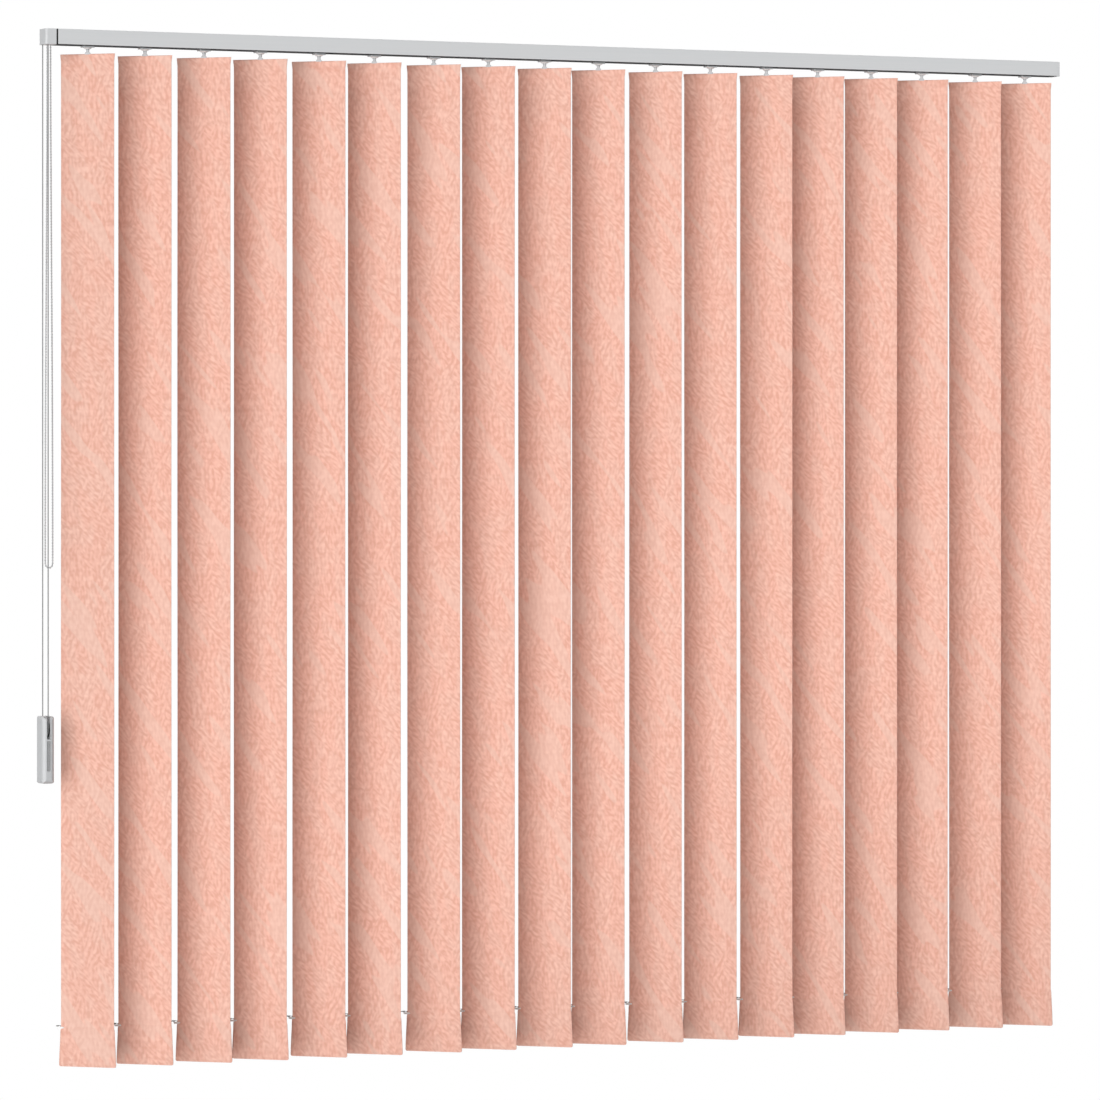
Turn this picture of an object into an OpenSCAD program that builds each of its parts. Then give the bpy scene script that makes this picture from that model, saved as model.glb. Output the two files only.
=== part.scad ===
// Vertical blind: a slim ceiling rail with cord traverse and chain tilt, and eighteen woven louvres.
// The origin is on the ceiling plane at the middle of the rail. +Z is up and the room side is -Y.
// Lengths are in millimetres and angles in degrees.

/* [Louvres] */
// Width of a louvre over most of its length
louvre_w = 89; // [80:1:92]
// Length of a louvre from its top edge to its bottom edge
louvre_drop = 1580; // [600:10:2200]
// Length of rail that is left at its two ends by the first and the last carrier together
end_room = 101; // [98:0.5:112]
// How far the row of carriers stands off the middle, towards the return end
carrier_shift = 7.4; // [5:0.1:8]
// Where each carrier rests off its even place along the rail, read from the photo
rest_offset = [4.2, 0.9, 1.3, -1.9, -0.5, -3.6, 0.9, -1.9, -1.2,
               -3.9, 0.2, 1.3, 5.1, 1.1, 2, -1.6, 1, -2.8]; // [-6:0.1:6]
// Angle of the louvres from the line of the rail
louvre_angle = 42.8; // [30:0.1:90]
// Thickness of the woven strip
fabric_t = 0.6; // [0.4:0.1:1]
// Height of the top hem
top_hem_h = 14; // [13:0.5:25]
// Thickness of the cloth that covers the hook's jaws in the top hem
hem_wall = 0.35; // [0.3:0.05:0.5]
// How far the top hem stands out past the strip at each side
top_flare = 1.2; // [0:0.1:2]
// Height of the bottom pocket
pocket_h = 62; // [40:1:90]
// Thickness of the bottom pocket with the weight in it
pocket_t = 2.6; // [2:0.1:3]
// How far the bottom pocket stands out past the strip at each side
pocket_flare = 3.2; // [0:0.1:3.2]
// Width of the welded margin round the hem and the pocket
weld_margin = 0.8; // [0.5:0.1:2]

/* [Hooks] */
// Diameter of the turning stem
stem_d = 6; // [5:0.1:7]
// Diameter of the collar that the stem hangs by
collar_d = 7.6; // [7.5:0.1:8.4]
// Height of that collar
collar_h = 1.4; // [1:0.1:1.8]
// Width of the hook's jaws
hook_w = 8.5; // [6:0.5:9]
// Thickness of each jaw
jaw_t = 0.6; // [0.5:0.1:0.8]
// Height of the hook's waisted head above the louvre
head_h = 7.5; // [6:0.1:9]
// Width of the waist between the stem and the jaws
neck_w = 4.4; // [3.6:0.1:5]
// How far the jaws reach down inside the hem
jaw_reach = 5; // [4.5:0.1:7]
// Height of the barb that goes into the hanger's hole
barb_h = 1.4; // [1:0.1:2]
// Thickness of the hanger in the hem that the jaws close on
tab_t = 0.8; // [0.7:0.1:1]

/* [Headrail] */
// Length of the aluminium rail
rail_len = 1784; // [1780:1:1900]
// Depth of the rail, from the room side to the window side
rail_d = 30; // [29.8:0.1:36]
// Height of the rail
rail_h = 24.5; // [24:0.1:28]
// Thickness of the rail's walls
rail_wall = 1.2; // [0.8:0.1:1.3]
// Radius of the rail's outer edges
rail_edge_r = 1; // [0.5:0.1:1.2]
// Width of the slot that the carriers hang through
floor_slot = 13; // [12.6:0.1:14]
// Width of the mouth of the clip slot in the top
clip_slot = 16; // [14:0.5:18]
// Width of the clip slot below its mouth
clip_slot_in = 24; // [20:0.5:26]
// Height of the clip slot below its mouth
clip_slot_h = 2.4; // [2:0.1:2.6]
// Thickness of the floor of the clip slot
clip_floor = 1; // [0.8:0.1:1.2]

/* [Ceiling clips] */
// Distance between the two outer clips
clip_span = 1400; // [800:10:1600]
// Length of a clip
clip_len = 38; // [30:1:60]
// Diameter of the screw hole
clip_hole_d = 4.5; // [4:0.1:5]
// Diameter of the countersink under the clip
clip_sink_d = 8; // [7:0.1:9]

/* [Control end] */
// Length of the control housing that shows
housing_len = 18; // [17:0.1:20]
// Width of the shadow line between the housing and the rail
shadow_gap = 2; // [1.5:0.1:4]
// Thickness of the housing's walls
housing_wall = 1.3; // [1:0.1:1.4]
// Thickness of the housing's end cover
cover_t = 2; // [1.8:0.1:2.2]
// How far the plug is drawn in at the shadow line
neck_in = 3.5; // [3.2:0.1:4]
// Radius of the upright corners at the outer end of the housing
end_r = 3.6; // [2:0.1:3.8]
// How far the housing's plug goes into the rail
plug_len = 20; // [12:1:24]
// How far the cord hangs from the outer end of the housing
cord_inset = 5.1; // [5:0.1:5.4]
// How far the middle of the chain wheel is from the outer end of the housing
chain_inset = 10.9; // [10.6:0.1:11.2]
// Distance between the two runs of the traverse cord
cord_span = 24.4; // [24:0.1:24.6]
// Depth of the cord's run below the ceiling
cord_depth = 9; // [8.6:0.1:9.4]
// Diameter of the traverse cord
cord_d = 2; // [1.6:0.1:2.2]
// Radius of the cord's turn over a control pulley
pulley_r = 4; // [3.8:0.1:4.2]
// Width of a control pulley
pulley_w = 2.2; // [2:0.1:2.4]
// Diameter of the stub that a pulley turns on
stub_d = 3; // [2.4:0.1:3.4]

/* [Tilt drive] */
// Diameter of the tilt rod over its splines
rod_d = 6; // [5:0.1:6.2]
// Depth of the rod's axis below the ceiling
rod_depth = 11; // [10.9:0.1:11.2]
// Number of splines on the rod
rod_splines = 6; // [3:1:8]
// Depth of a spline
spline_h = 0.7; // [0.4:0.1:1]
// Number of bead pockets round the chain wheel
bead_pockets = 10; // [9:1:10]
// Distance from bead to bead along the chain
bead_pitch = 4.5; // [4.3:0.1:4.6]
// Diameter of a bead
bead_d = 3; // [2.4:0.1:3.2]
// Width of the chain wheel
wheel_w = 5.2; // [4.6:0.1:5.4]
// How far the chain hangs below the ceiling
chain_drop = 838; // [300:10:1000]
// How far the chain's loop is turned at its lower end
chain_turn = 33; // [0:1:60]

/* [Return end] */
// Thickness of the return end cap that shows
cap_t = 5.8; // [4:0.1:10]
// How far the return plug goes into the rail
return_plug = 37; // [36.5:0.5:37.5]
// Distance from the end of the rail to the return pulley's axis
return_inset = 16; // [15:0.5:17]
// Thickness of the return pulley
return_t = 3.2; // [2.8:0.1:3.4]
// Diameter of the return pulley's stub
return_stub_d = 5; // [4:0.1:6]
// Length of the rod's bearing at the return end
bearing_len = 6; // [4:0.1:6]

/* [Carriers] */
// Length of a carrier along the rail
carrier_len = 15; // [13:0.5:17]
// Width of a carrier's body
carrier_w = 13.6; // [12:0.1:14]
// Length of the plate under the rail
plate_len = 19; // [16:0.5:19.5]
// Width of that plate across the rail
plate_w = 15; // [13:0.5:18]
// Thickness of that plate
plate_t = 2.2; // [1.5:0.1:2.6]
// Height of the boss under that plate
boss_h = 2; // [1.5:0.1:3]
// Diameter of a carrier's wheel
wheel_d = 6.2; // [5:0.1:6.4]
// Thickness of a carrier's wheel
wheel_t = 2.4; // [2:0.1:2.6]
// Distance between a carrier's wheels along the rail
wheel_base = 8; // [7:0.1:8.4]
// Height of the room round the stem's collar
collar_room = 2; // [1.9:0.1:2.4]
// Depth of the collar's room below the ceiling
collar_depth = 16; // [15.8:0.1:16.4]

/* [Cord weight] */
// Width of the weight across the cord loop
weight_w = 20; // [18:0.5:24]
// Depth of the weight in the plane of the cord loop
weight_d = 32; // [31:0.5:40]
// Height of the weight
weight_h = 105; // [90:1:130]
// How far the top of the weight hangs below the ceiling
weight_drop = 1068; // [600:10:1400]
// Radius of the weight's corners in the plane of the loop
weight_r = 7; // [4:0.5:8]
// Radius of the weight's upright edges
weight_edge_r = 6.5; // [4:0.1:6.8]
// Radius of the weight's corners seen from the room
weight_end_r = 5; // [3:0.1:6]
// Width of the slot that the pulley runs in
slot_w = 6; // [5.6:0.1:7]
// Depth of the slot from the top of the weight
slot_h = 36; // [36:0.5:40]
// Distance from the top of the weight to its pulley's axis
weight_axle_depth = 21; // [20:0.5:21.5]
// Diameter of the weight's pin
pin_d = 3; // [2.5:0.1:4]
// Length of that pin
pin_len = 15; // [12:0.5:16]
// Height of the grip channel below the slot
channel_h = 47; // [20:1:50]
// Depth of the grip channel
channel_depth = 3; // [1:0.1:3.5]
// Height of the bar between the slot and the grip channel
bar_h = 2.5; // [2:0.1:5]

/* [Bottom chain] */
// Height of the chain above the bottom edge of the louvres
chain_up = 63; // [45:1:80]
// Thickness of the chain
link_t = 1.2; // [0.8:0.1:1.6]
// How far a span of the chain sags
chain_sag = 5; // [0:0.5:15]
// How far the chain's stud stands off the edge of the pocket
stud_reach = 3; // [2.5:0.1:5]
// Diameter of the stud
stud_d = 2; // [1.5:0.1:2.4]
// Height of the stud's clip
clip_h = 5; // [4:0.5:10]
// How far the clip reaches over the pocket
clip_grip = 5; // [3:0.5:8]
// Thickness of the clip
clip_t = 3.8; // [3.6:0.1:4.2]

/* [Fits] */
// Clearance of a sliding or seated fit
fit = 0.1; // [0.05:0.01:0.15]
// Running clearance between pieces that move past each other
run = 0.3; // [0.2:0.05:0.35]

/* [Hidden] */
$fn = 48;
louvre_count = 18;
louvre_pitch = (rail_len - end_room) / (louvre_count - 1);

// Rail stations along X
total_len = housing_len + shadow_gap + rail_len + cap_t;
x_end = -total_len / 2;
x_housing = x_end + housing_len;
x_rail0 = x_housing + shadow_gap;
x_rail1 = x_rail0 + rail_len;
x_cord = x_end + cord_inset;
x_wheel = x_end + chain_inset;
x_return = x_rail1 - return_inset;
x_plug_in = x_rail1 - return_plug;
x_rod_end = x_plug_in + bearing_len - run;

// Rail heights
z_chamber = -(rail_wall + clip_slot_h + clip_floor);
z_lip = -rail_h + rail_wall;
chamber_w = rail_d - 2 * rail_wall;
chamber_h = z_chamber - z_lip;

// Carrier and hook heights
z_plate = -rail_h - run;
z_plate_low = z_plate - plate_t;
z_boss = z_plate_low - boss_h;
z_collar = -collar_depth - collar_room + fit;
z_head = z_boss - run;
louvre_top = z_head - head_h - fit;
louvre_bottom = louvre_top - louvre_drop;
z_jaw = louvre_top - jaw_reach;
hole_top = z_jaw + barb_h + jaw_t;
jaw_out = tab_t / 2 + fit + jaw_t;
top_hem_t = 2 * (jaw_out + fit + hem_wall);

// Pulleys and wheels
sprocket_r = bead_pitch * bead_pockets / 360 * 180 / PI;
return_r = cord_span / 2;
z_pulley = -cord_depth - pulley_r;
z_weight_axle = -weight_drop - weight_axle_depth;

// Bottom chain
stud_u = -(louvre_w / 2 + pocket_flare + stud_reach);
z_chain = louvre_bottom + chain_up;

// Position of a carrier along the rail
function carrier_x(i) =
    (i - (louvre_count + 1) / 2) * louvre_pitch + rest_offset[i - 1] + carrier_shift;

// Position of the stud on a louvre's rear corner
function stud_x(i) = carrier_x(i) + stud_u * cos(louvre_angle);
stud_y = -stud_u * sin(louvre_angle);

// Smooth step from 0 to 1
function ease(t) = t * t * (3 - 2 * t);

// Rectangle with round corners, standing on its middle
module round_rect(w, h, r) {
    square([w - 2 * r, h], center = true);
    square([w, h - 2 * r], center = true);
    for (sx = [-1, 1], sy = [-1, 1])
        translate([sx * (w / 2 - r), sy * (h / 2 - r)])
            circle(r);
}

// Turns a profile drawn across the rail into a bar along X from x0 to x1
module along_rail(x0, x1) {
    translate([x0, 0, 0])
        rotate([90, 0, 90])
            linear_extrude(x1 - x0)
                children();
}

// Outline of the rail and its end pieces, seen along X
module rail_outline() {
    translate([0, -rail_h / 2])
        round_rect(rail_d, rail_h, rail_edge_r);
}

// Band across the rail between two heights
module band(w, z0, z1) {
    translate([-w / 2, z0])
        square([w, z1 - z0]);
}

// Extruded aluminium rail: clip slot on top, carrier chamber below it, slot in the floor
module headrail() {
    color("silver")
        along_rail(x_rail0, x_rail1)
            difference() {
                rail_outline();
                band(clip_slot, -rail_wall - 1, 1);
                band(clip_slot_in, -rail_wall - clip_slot_h, -rail_wall);
                band(chamber_w, z_lip, z_chamber);
                band(floor_slot, -rail_h - 1, z_lip + 1);
            }
}

// Ceiling clip that slides in the rail's top slot, its pad flush with the rail
module ceiling_clip() {
    difference() {
        along_rail(-clip_len / 2, clip_len / 2) {
            band(clip_slot - 2 * fit, -rail_wall - 0.5, 0);
            band(clip_slot_in - 2 * fit, -rail_wall - clip_slot_h + fit, -rail_wall - fit);
        }
        translate([0, 0, -rail_h])
            cylinder(d = clip_hole_d, h = 2 * rail_h);
        translate([0, 0, -rail_wall - clip_slot_h])
            cylinder(d1 = clip_sink_d, d2 = clip_hole_d, h = (clip_sink_d - clip_hole_d) / 2);
    }
}

module mounting_clips() {
    color("gainsboro")
        for (k = [-1, 0, 1])
            translate([k * clip_span / 2, 0, 0])
                ceiling_clip();
}

// Moulded control end: open box with pulley stubs, and a plug that carries the rod into the rail
module control_housing() {
    color("lightgrey")
        difference() {
            union() {
                intersection() {
                    along_rail(x_end + cover_t, x_housing)
                        rail_outline();
                    rounded_end();
                }
                along_rail(x_rail0 + shadow_gap, x_rail0 + plug_len)
                    band(chamber_w - 2 * fit, z_lip + fit, z_chamber - fit);
                along_rail(x_housing - fit, x_rail0 + 2 * shadow_gap)
                    band(chamber_w - 2 * neck_in, z_lip + neck_in / 2, z_chamber - neck_in / 2);
            }
            difference() {
                along_rail(x_end, x_housing - housing_wall)
                    band(rail_d - 2 * housing_wall, -rail_h + housing_wall, -housing_wall);
                for (side = [-1, 1])
                    translate([x_cord + pulley_r, side * rail_d / 2, z_pulley])
                        rotate([side * 90, 0, 0])
                            pulley_stub();
            }
            // Bore for the rod and channels for the two cord runs
            translate([x_end, 0, -rod_depth])
                rotate([0, 90, 0])
                    cylinder(d = rod_d + 2 * fit, h = housing_len + shadow_gap + plug_len + 1);
            for (side = [-1, 1]) {
                translate([x_housing - housing_wall - 1, side * cord_span / 2, -cord_depth])
                    rotate([0, 90, 0])
                        cylinder(d = cord_d + 2 * run, h = plug_len + shadow_gap + housing_wall + 2);
                // Ways out for the cord and the chain in the floor
                translate([x_cord, side * cord_span / 2, -rail_h - 1])
                    cylinder(d = cord_d + 2 * run, h = housing_wall + 2);
                translate([x_wheel, side * sprocket_r, -rail_h - 1])
                    cylinder(d = bead_d + 4 * run, h = housing_wall + 2);
            }
        }
}

// Room with round upright corners at the control end, to trim the housing and its cover
module rounded_end() {
    translate([x_end + rail_len / 2, 0, -rail_h - 1])
        linear_extrude(rail_h + 2)
            round_rect(rail_len, rail_d, end_r);
}

// Stub that a control pulley snaps on to, pointing to the middle of the housing
module pulley_stub() {
    stub_len = rail_d / 2 - cord_span / 2 + pulley_w / 2 + run;
    cylinder(d = stub_d, h = stub_len);
    cylinder(d = stub_d + 1.6, h = rail_d / 2 - cord_span / 2 - pulley_w / 2 - fit);
    translate([0, 0, stub_len])
        cylinder(d1 = stub_d + 0.8, d2 = stub_d - 0.6, h = 0.8);
}

// End cover with a rim that seats inside the housing
module control_cover() {
    rim_w = rail_d - 2 * housing_wall - 2 * fit;
    rim_h = rail_h - 2 * housing_wall - 2 * fit;
    color("lightgrey") {
        intersection() {
            along_rail(x_end, x_end + cover_t)
                rail_outline();
            rounded_end();
        }
        along_rail(x_end + cover_t, x_end + cover_t + 1)
            translate([0, -rail_h / 2])
                difference() {
                    square([rim_w, rim_h], center = true);
                    square([rim_w - 1.6, rim_h - 1.6], center = true);
                }
    }
}

// Thin end cap with the block that carries the return pulley and the rod's far end
module return_end_cap() {
    block_top = -cord_depth - return_t / 2 - fit;
    color("lightgrey")
        difference() {
            union() {
                along_rail(x_rail1, x_rail1 + cap_t)
                    rail_outline();
                along_rail(x_plug_in, x_rail1)
                    band(chamber_w - 2 * fit, z_lip + fit, block_top);
                along_rail(x_plug_in, x_plug_in + bearing_len)
                    band(rod_d + 4, block_top - 1, -rod_depth + rod_d / 2 + 2);
                translate([x_return, 0, block_top - 1])
                    cylinder(d = return_stub_d, h = return_t + 1 + 2 * fit);
                translate([x_return, 0, block_top + return_t + 2 * fit])
                    cylinder(d1 = return_stub_d + 1, d2 = return_stub_d - 1, h = 1);
            }
            translate([x_plug_in - 1, 0, -rod_depth])
                rotate([0, 90, 0])
                    cylinder(d = rod_d + 2 * fit, h = bearing_len + 1);
            // Hollow under the pulley, open to the floor slot
            along_rail(x_plug_in + bearing_len + 2, x_rail1 - 2)
                band(floor_slot, z_lip - 1, block_top - 2.5);
        }
}

// Splined rod through every carrier
module tilt_rod() {
    color("silver")
        translate([0, 0, -rod_depth])
            along_rail(x_wheel - wheel_w / 2, x_rod_end) {
                circle(d = rod_d - 2 * spline_h);
                intersection() {
                    circle(d = rod_d);
                    for (k = [0 : rod_splines - 1])
                        rotate(k * 360 / rod_splines)
                            translate([0, -0.7])
                                square([rod_d, 1.4]);
                }
            }
}

// Half section of a groove with a round floor, for a cord or chain that runs at radius r
module groove(r, w) {
    translate([r, 0])
        circle(d = w);
    translate([r, -w / 2])
        square([w, w]);
}

// Chain wheel on the rod, with a pocket for each bead
module chain_sprocket() {
    rim_r = sprocket_r + bead_d * 0.4;
    color("whitesmoke")
        translate([x_wheel, 0, -rod_depth])
            rotate([0, 90, 0])
                difference() {
                    cylinder(r = rim_r, h = wheel_w, center = true);
                    cylinder(d = rod_d + 2 * fit, h = wheel_w + 2, center = true);
                    rotate_extrude()
                        groove(sprocket_r, bead_d * 0.7 + 2 * run);
                    for (k = [0 : bead_pockets - 1])
                        rotate(k * 360 / bead_pockets)
                            translate([sprocket_r, 0, 0])
                                cylinder(d = bead_d + 2 * fit, h = bead_d + 2 * fit, center = true);
                }
}

// Grooved pulley with its axis along Z, for a cord that turns at radius r
module pulley(r, w, bore) {
    difference() {
        cylinder(r = r + cord_d * 0.35, h = w, center = true);
        cylinder(d = bore, h = w + 2, center = true);
        rotate_extrude()
            groove(r, cord_d);
    }
}

module control_pulley(side) {
    color("whitesmoke")
        translate([x_cord + pulley_r, side * cord_span / 2, z_pulley])
            rotate([90, 0, 0])
                pulley(pulley_r, pulley_w, stub_d + 2 * fit);
}

module cord_pulley_front() {
    control_pulley(-1);
}

module cord_pulley_rear() {
    control_pulley(1);
}

module return_pulley() {
    color("whitesmoke")
        translate([x_return, 0, -cord_depth])
            pulley(return_r, return_t, return_stub_d + 2 * fit);
}

// Half turn of cord about Z, on the +X side
module half_turn(r, d) {
    rotate([0, 0, -90])
        rotate_extrude(angle = 180)
            translate([r, 0])
                circle(d = d, $fn = 24);
}

// Quarter turn over a control pulley, from the rail's run down to the free fall
module quarter_turn(side) {
    translate([x_cord + pulley_r, side * cord_span / 2, z_pulley])
        rotate([90, 0, 0])
            rotate([0, 0, 90])
                rotate_extrude(angle = 90)
                    translate([pulley_r, 0])
                        circle(d = cord_d - 2 * fit, $fn = 24);
}

// The traverse cord inside the rail: both runs, the return turn and the turns over the pulleys
module rail_cord() {
    color("gainsboro") {
        for (side = [-1, 1]) {
            translate([x_cord + pulley_r, side * cord_span / 2, -cord_depth])
                rotate([0, 90, 0])
                    cylinder(d = cord_d - 2 * fit, h = x_return - x_cord - pulley_r, $fn = 24);
            quarter_turn(side);
        }
        translate([x_return, 0, -cord_depth])
            half_turn(return_r, cord_d - 2 * fit);
    }
}

// The free loop of the traverse cord, from the pulleys down round the weight's pulley
module traverse_cord() {
    color("gainsboro") {
        for (side = [-1, 1])
            translate([x_cord, side * cord_span / 2, z_weight_axle])
                cylinder(d = cord_d - 2 * fit, h = z_pulley - z_weight_axle, $fn = 24);
        translate([x_cord, 0, z_weight_axle])
            rotate([0, 90, 0])
                half_turn(return_r, cord_d - 2 * fit);
    }
}

// Points of the chain's loop: over the wheel, down the rear, round the lower bend and up the front
function chain_point(side, down) =
    let (turn = chain_turn * ease(down))
    [x_wheel - side * sprocket_r * sin(turn), side * sprocket_r * cos(turn),
     -rod_depth - down * (chain_drop - rod_depth - sprocket_r)];
function chain_bend(a) =
    [x_wheel - sprocket_r * cos(a) * sin(chain_turn), sprocket_r * cos(a) * cos(chain_turn),
     -chain_drop + sprocket_r - sprocket_r * sin(a)];
chain_steps = 4;
chain_path = concat(
    [for (a = [0 : 20 : 160]) [x_wheel, -sprocket_r * cos(a), -rod_depth + sprocket_r * sin(a)]],
    [for (k = [0 : chain_steps - 1]) chain_point(1, k / chain_steps)],
    [for (a = [0 : 30 : 180]) chain_bend(a)],
    [for (k = [chain_steps - 1 : -1 : 0]) chain_point(-1, k / chain_steps)]
);

// Bead chain as a plain closed tube along its loop
module tilt_chain() {
    color("lightgrey")
        for (k = [0 : len(chain_path) - 2])
            hull() {
                translate(chain_path[k])
                    sphere(d = bead_d * 0.7, $fn = 8);
                translate(chain_path[k + 1])
                    sphere(d = bead_d * 0.7, $fn = 8);
            }
}

// Rounded body of the cord weight, before it is split and slotted
module weight_body() {
    translate([x_cord, 0, -weight_drop - weight_h / 2])
        intersection() {
            rotate([90, 0, 90])
                linear_extrude(weight_w, center = true)
                    round_rect(weight_d, weight_h, weight_r);
            linear_extrude(weight_h, center = true)
                round_rect(weight_w, weight_d, weight_edge_r);
            rotate([90, 0, 0])
                linear_extrude(weight_d, center = true)
                    round_rect(weight_w, weight_h, weight_end_r);
        }
}

// One half of the weight: the two meet at the middle below the pulley slot
module weight_half(side) {
    slot_bottom = -weight_drop - slot_h;
    channel_low = slot_bottom - bar_h - channel_h;
    color("lightgrey")
        difference() {
            intersection() {
                weight_body();
                translate([x_cord + (side < 0 ? -weight_w : 0), -weight_d, -weight_drop - weight_h - 1])
                    cube([weight_w, 2 * weight_d, weight_h + 2]);
            }
            translate([x_cord - slot_w / 2, -weight_d, slot_bottom])
                cube([slot_w, 2 * weight_d, slot_h + 1]);
            translate([x_cord - pin_len / 2 - fit, 0, z_weight_axle])
                rotate([0, 90, 0])
                    cylinder(d = pin_d + 2 * fit, h = pin_len + 2 * fit);
            for (face = [-1, 1])
                translate([x_cord - slot_w / 2, face * weight_d / 2 - channel_depth, channel_low])
                    cube([slot_w, 2 * channel_depth, channel_h]);
        }
}

module cord_weight_left() {
    weight_half(-1);
}

module cord_weight_right() {
    weight_half(1);
}

module weight_pulley() {
    color("whitesmoke")
        translate([x_cord, 0, z_weight_axle])
            rotate([0, 90, 0])
                pulley(return_r, slot_w - 2 * run, pin_d + 2 * fit);
}

module weight_pin() {
    color("silver")
        translate([x_cord - pin_len / 2, 0, z_weight_axle])
            rotate([0, 90, 0])
                cylinder(d = pin_d, h = pin_len);
}

// Link chain that joins the rear corners of the pockets: a ring on each stud and a sagging span
module bottom_chain() {
    ring_in = stud_d + 2 * run;
    steps = 6;
    color("dimgrey") {
        for (i = [1 : louvre_count])
            translate([stud_x(i), stud_y, z_chain])
                difference() {
                    cylinder(d = ring_in + 2 * link_t, h = link_t, center = true, $fn = 24);
                    cylinder(d = ring_in, h = link_t + 1, center = true, $fn = 24);
                }
        for (i = [1 : louvre_count - 1])
            let (
                x0 = stud_x(i) + ring_in / 2 + link_t / 2,
                span = stud_x(i + 1) - stud_x(i) - ring_in - link_t,
                low = [for (k = [0 : steps])
                    [x0 + span * k / steps, -4 * chain_sag * k / steps * (1 - k / steps)]]
            )
            translate([0, stud_y + link_t / 2, z_chain])
                rotate([90, 0, 0])
                    linear_extrude(link_t)
                        polygon(concat(
                            [for (p = low) p + [0, link_t / 2]],
                            [for (k = [steps : -1 : 0]) low[k] - [0, link_t / 2]]
                        ));
    }
}

// Carrier that runs on the rail's lips; the lead one also holds the cord
module carrier(i) {
    lead = i == louvre_count;
    neck_w = floor_slot - 2 * run;
    body_top = z_chamber - run;
    body_low = z_lip + run;
    z_wheel = z_lip + wheel_d / 2 + fit;
    arm_in = carrier_w / 2 - 1;
    arm_out = cord_span / 2 + cord_d / 2;
    color("gainsboro")
        translate([carrier_x(i), 0, 0])
            difference() {
                union() {
                    along_rail(-carrier_len / 2, carrier_len / 2)
                        polygon([
                            [-carrier_w / 2 + 1.5, body_top], [carrier_w / 2 - 1.5, body_top],
                            [carrier_w / 2, body_top - 1.5], [carrier_w / 2, body_low],
                            [neck_w / 2, body_low], [neck_w / 2, z_plate],
                            [-neck_w / 2, z_plate], [-neck_w / 2, body_low],
                            [-carrier_w / 2, body_low], [-carrier_w / 2, body_top - 1.5]
                        ]);
                    translate([0, 0, z_plate_low])
                        linear_extrude(plate_t)
                            round_rect(plate_len, plate_w, 2);
                    translate([0, 0, z_boss])
                        cylinder(d1 = collar_d + 2.4, d2 = plate_w - 1, h = boss_h + fit);
                    for (sx = [-1, 1], sy = [-1, 1])
                        translate([sx * wheel_base / 2, sy * (carrier_w / 2 + run), z_wheel])
                            rotate([-sy * 90, 0, 0]) {
                                cylinder(d = wheel_d, h = wheel_t);
                                translate([0, 0, -run - 1])
                                    cylinder(d = wheel_d / 2, h = run + wheel_t + 1.4);
                            }
                    if (lead)
                        translate([-4, -arm_out, -cord_depth - 2])
                            cube([8, arm_out - arm_in, 4]);
                }
                // Way for the rod
                translate([-plate_len, 0, -rod_depth])
                    rotate([0, 90, 0])
                        cylinder(d = rod_d + 2 * run, h = 2 * plate_len);
                // Bore for the stem and the room for its collar
                translate([0, 0, z_boss - 1])
                    cylinder(d = stem_d + 2 * fit, h = z_boss * -1 + 1 - collar_depth - collar_room / 2);
                translate([0, 0, -collar_depth - collar_room])
                    cylinder(d = collar_d + 2 * fit, h = collar_room);
                if (lead)
                    translate([-plate_len, -cord_span / 2, -cord_depth])
                        rotate([0, 90, 0])
                            cylinder(d = cord_d + 2 * fit, h = 2 * plate_len);
            }
}

// Half-width of a louvre at a height above its bottom edge
function half_w(up) =
    louvre_w / 2
    + (up < pocket_h ? pocket_flare * ease(1 - up / pocket_h) : 0)
    + (up > louvre_drop - top_hem_h ? top_flare * ease((up - louvre_drop + top_hem_h) / top_hem_h) : 0);

// Outline of a louvre between two heights above its bottom edge, drawn in by a margin
module louvre_outline(low, high, margin) {
    bends = concat(
        [for (k = [0 : 6]) pocket_h * k / 6],
        [for (k = [0 : 3]) louvre_drop - top_hem_h + top_hem_h * k / 3]
    );
    ups = concat([low], [for (b = bends) if (b > low && b < high) b], [high]);
    polygon(concat(
        [for (u = ups) [half_w(u) - margin, u]],
        [for (k = [len(ups) - 1 : -1 : 0]) [margin - half_w(ups[k]), ups[k]]]
    ));
}

// Flat sheet of thickness t from an outline drawn upright
module upright_sheet(t) {
    translate([0, t / 2, louvre_bottom])
        rotate([90, 0, 0])
            linear_extrude(t)
                children();
}

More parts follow.
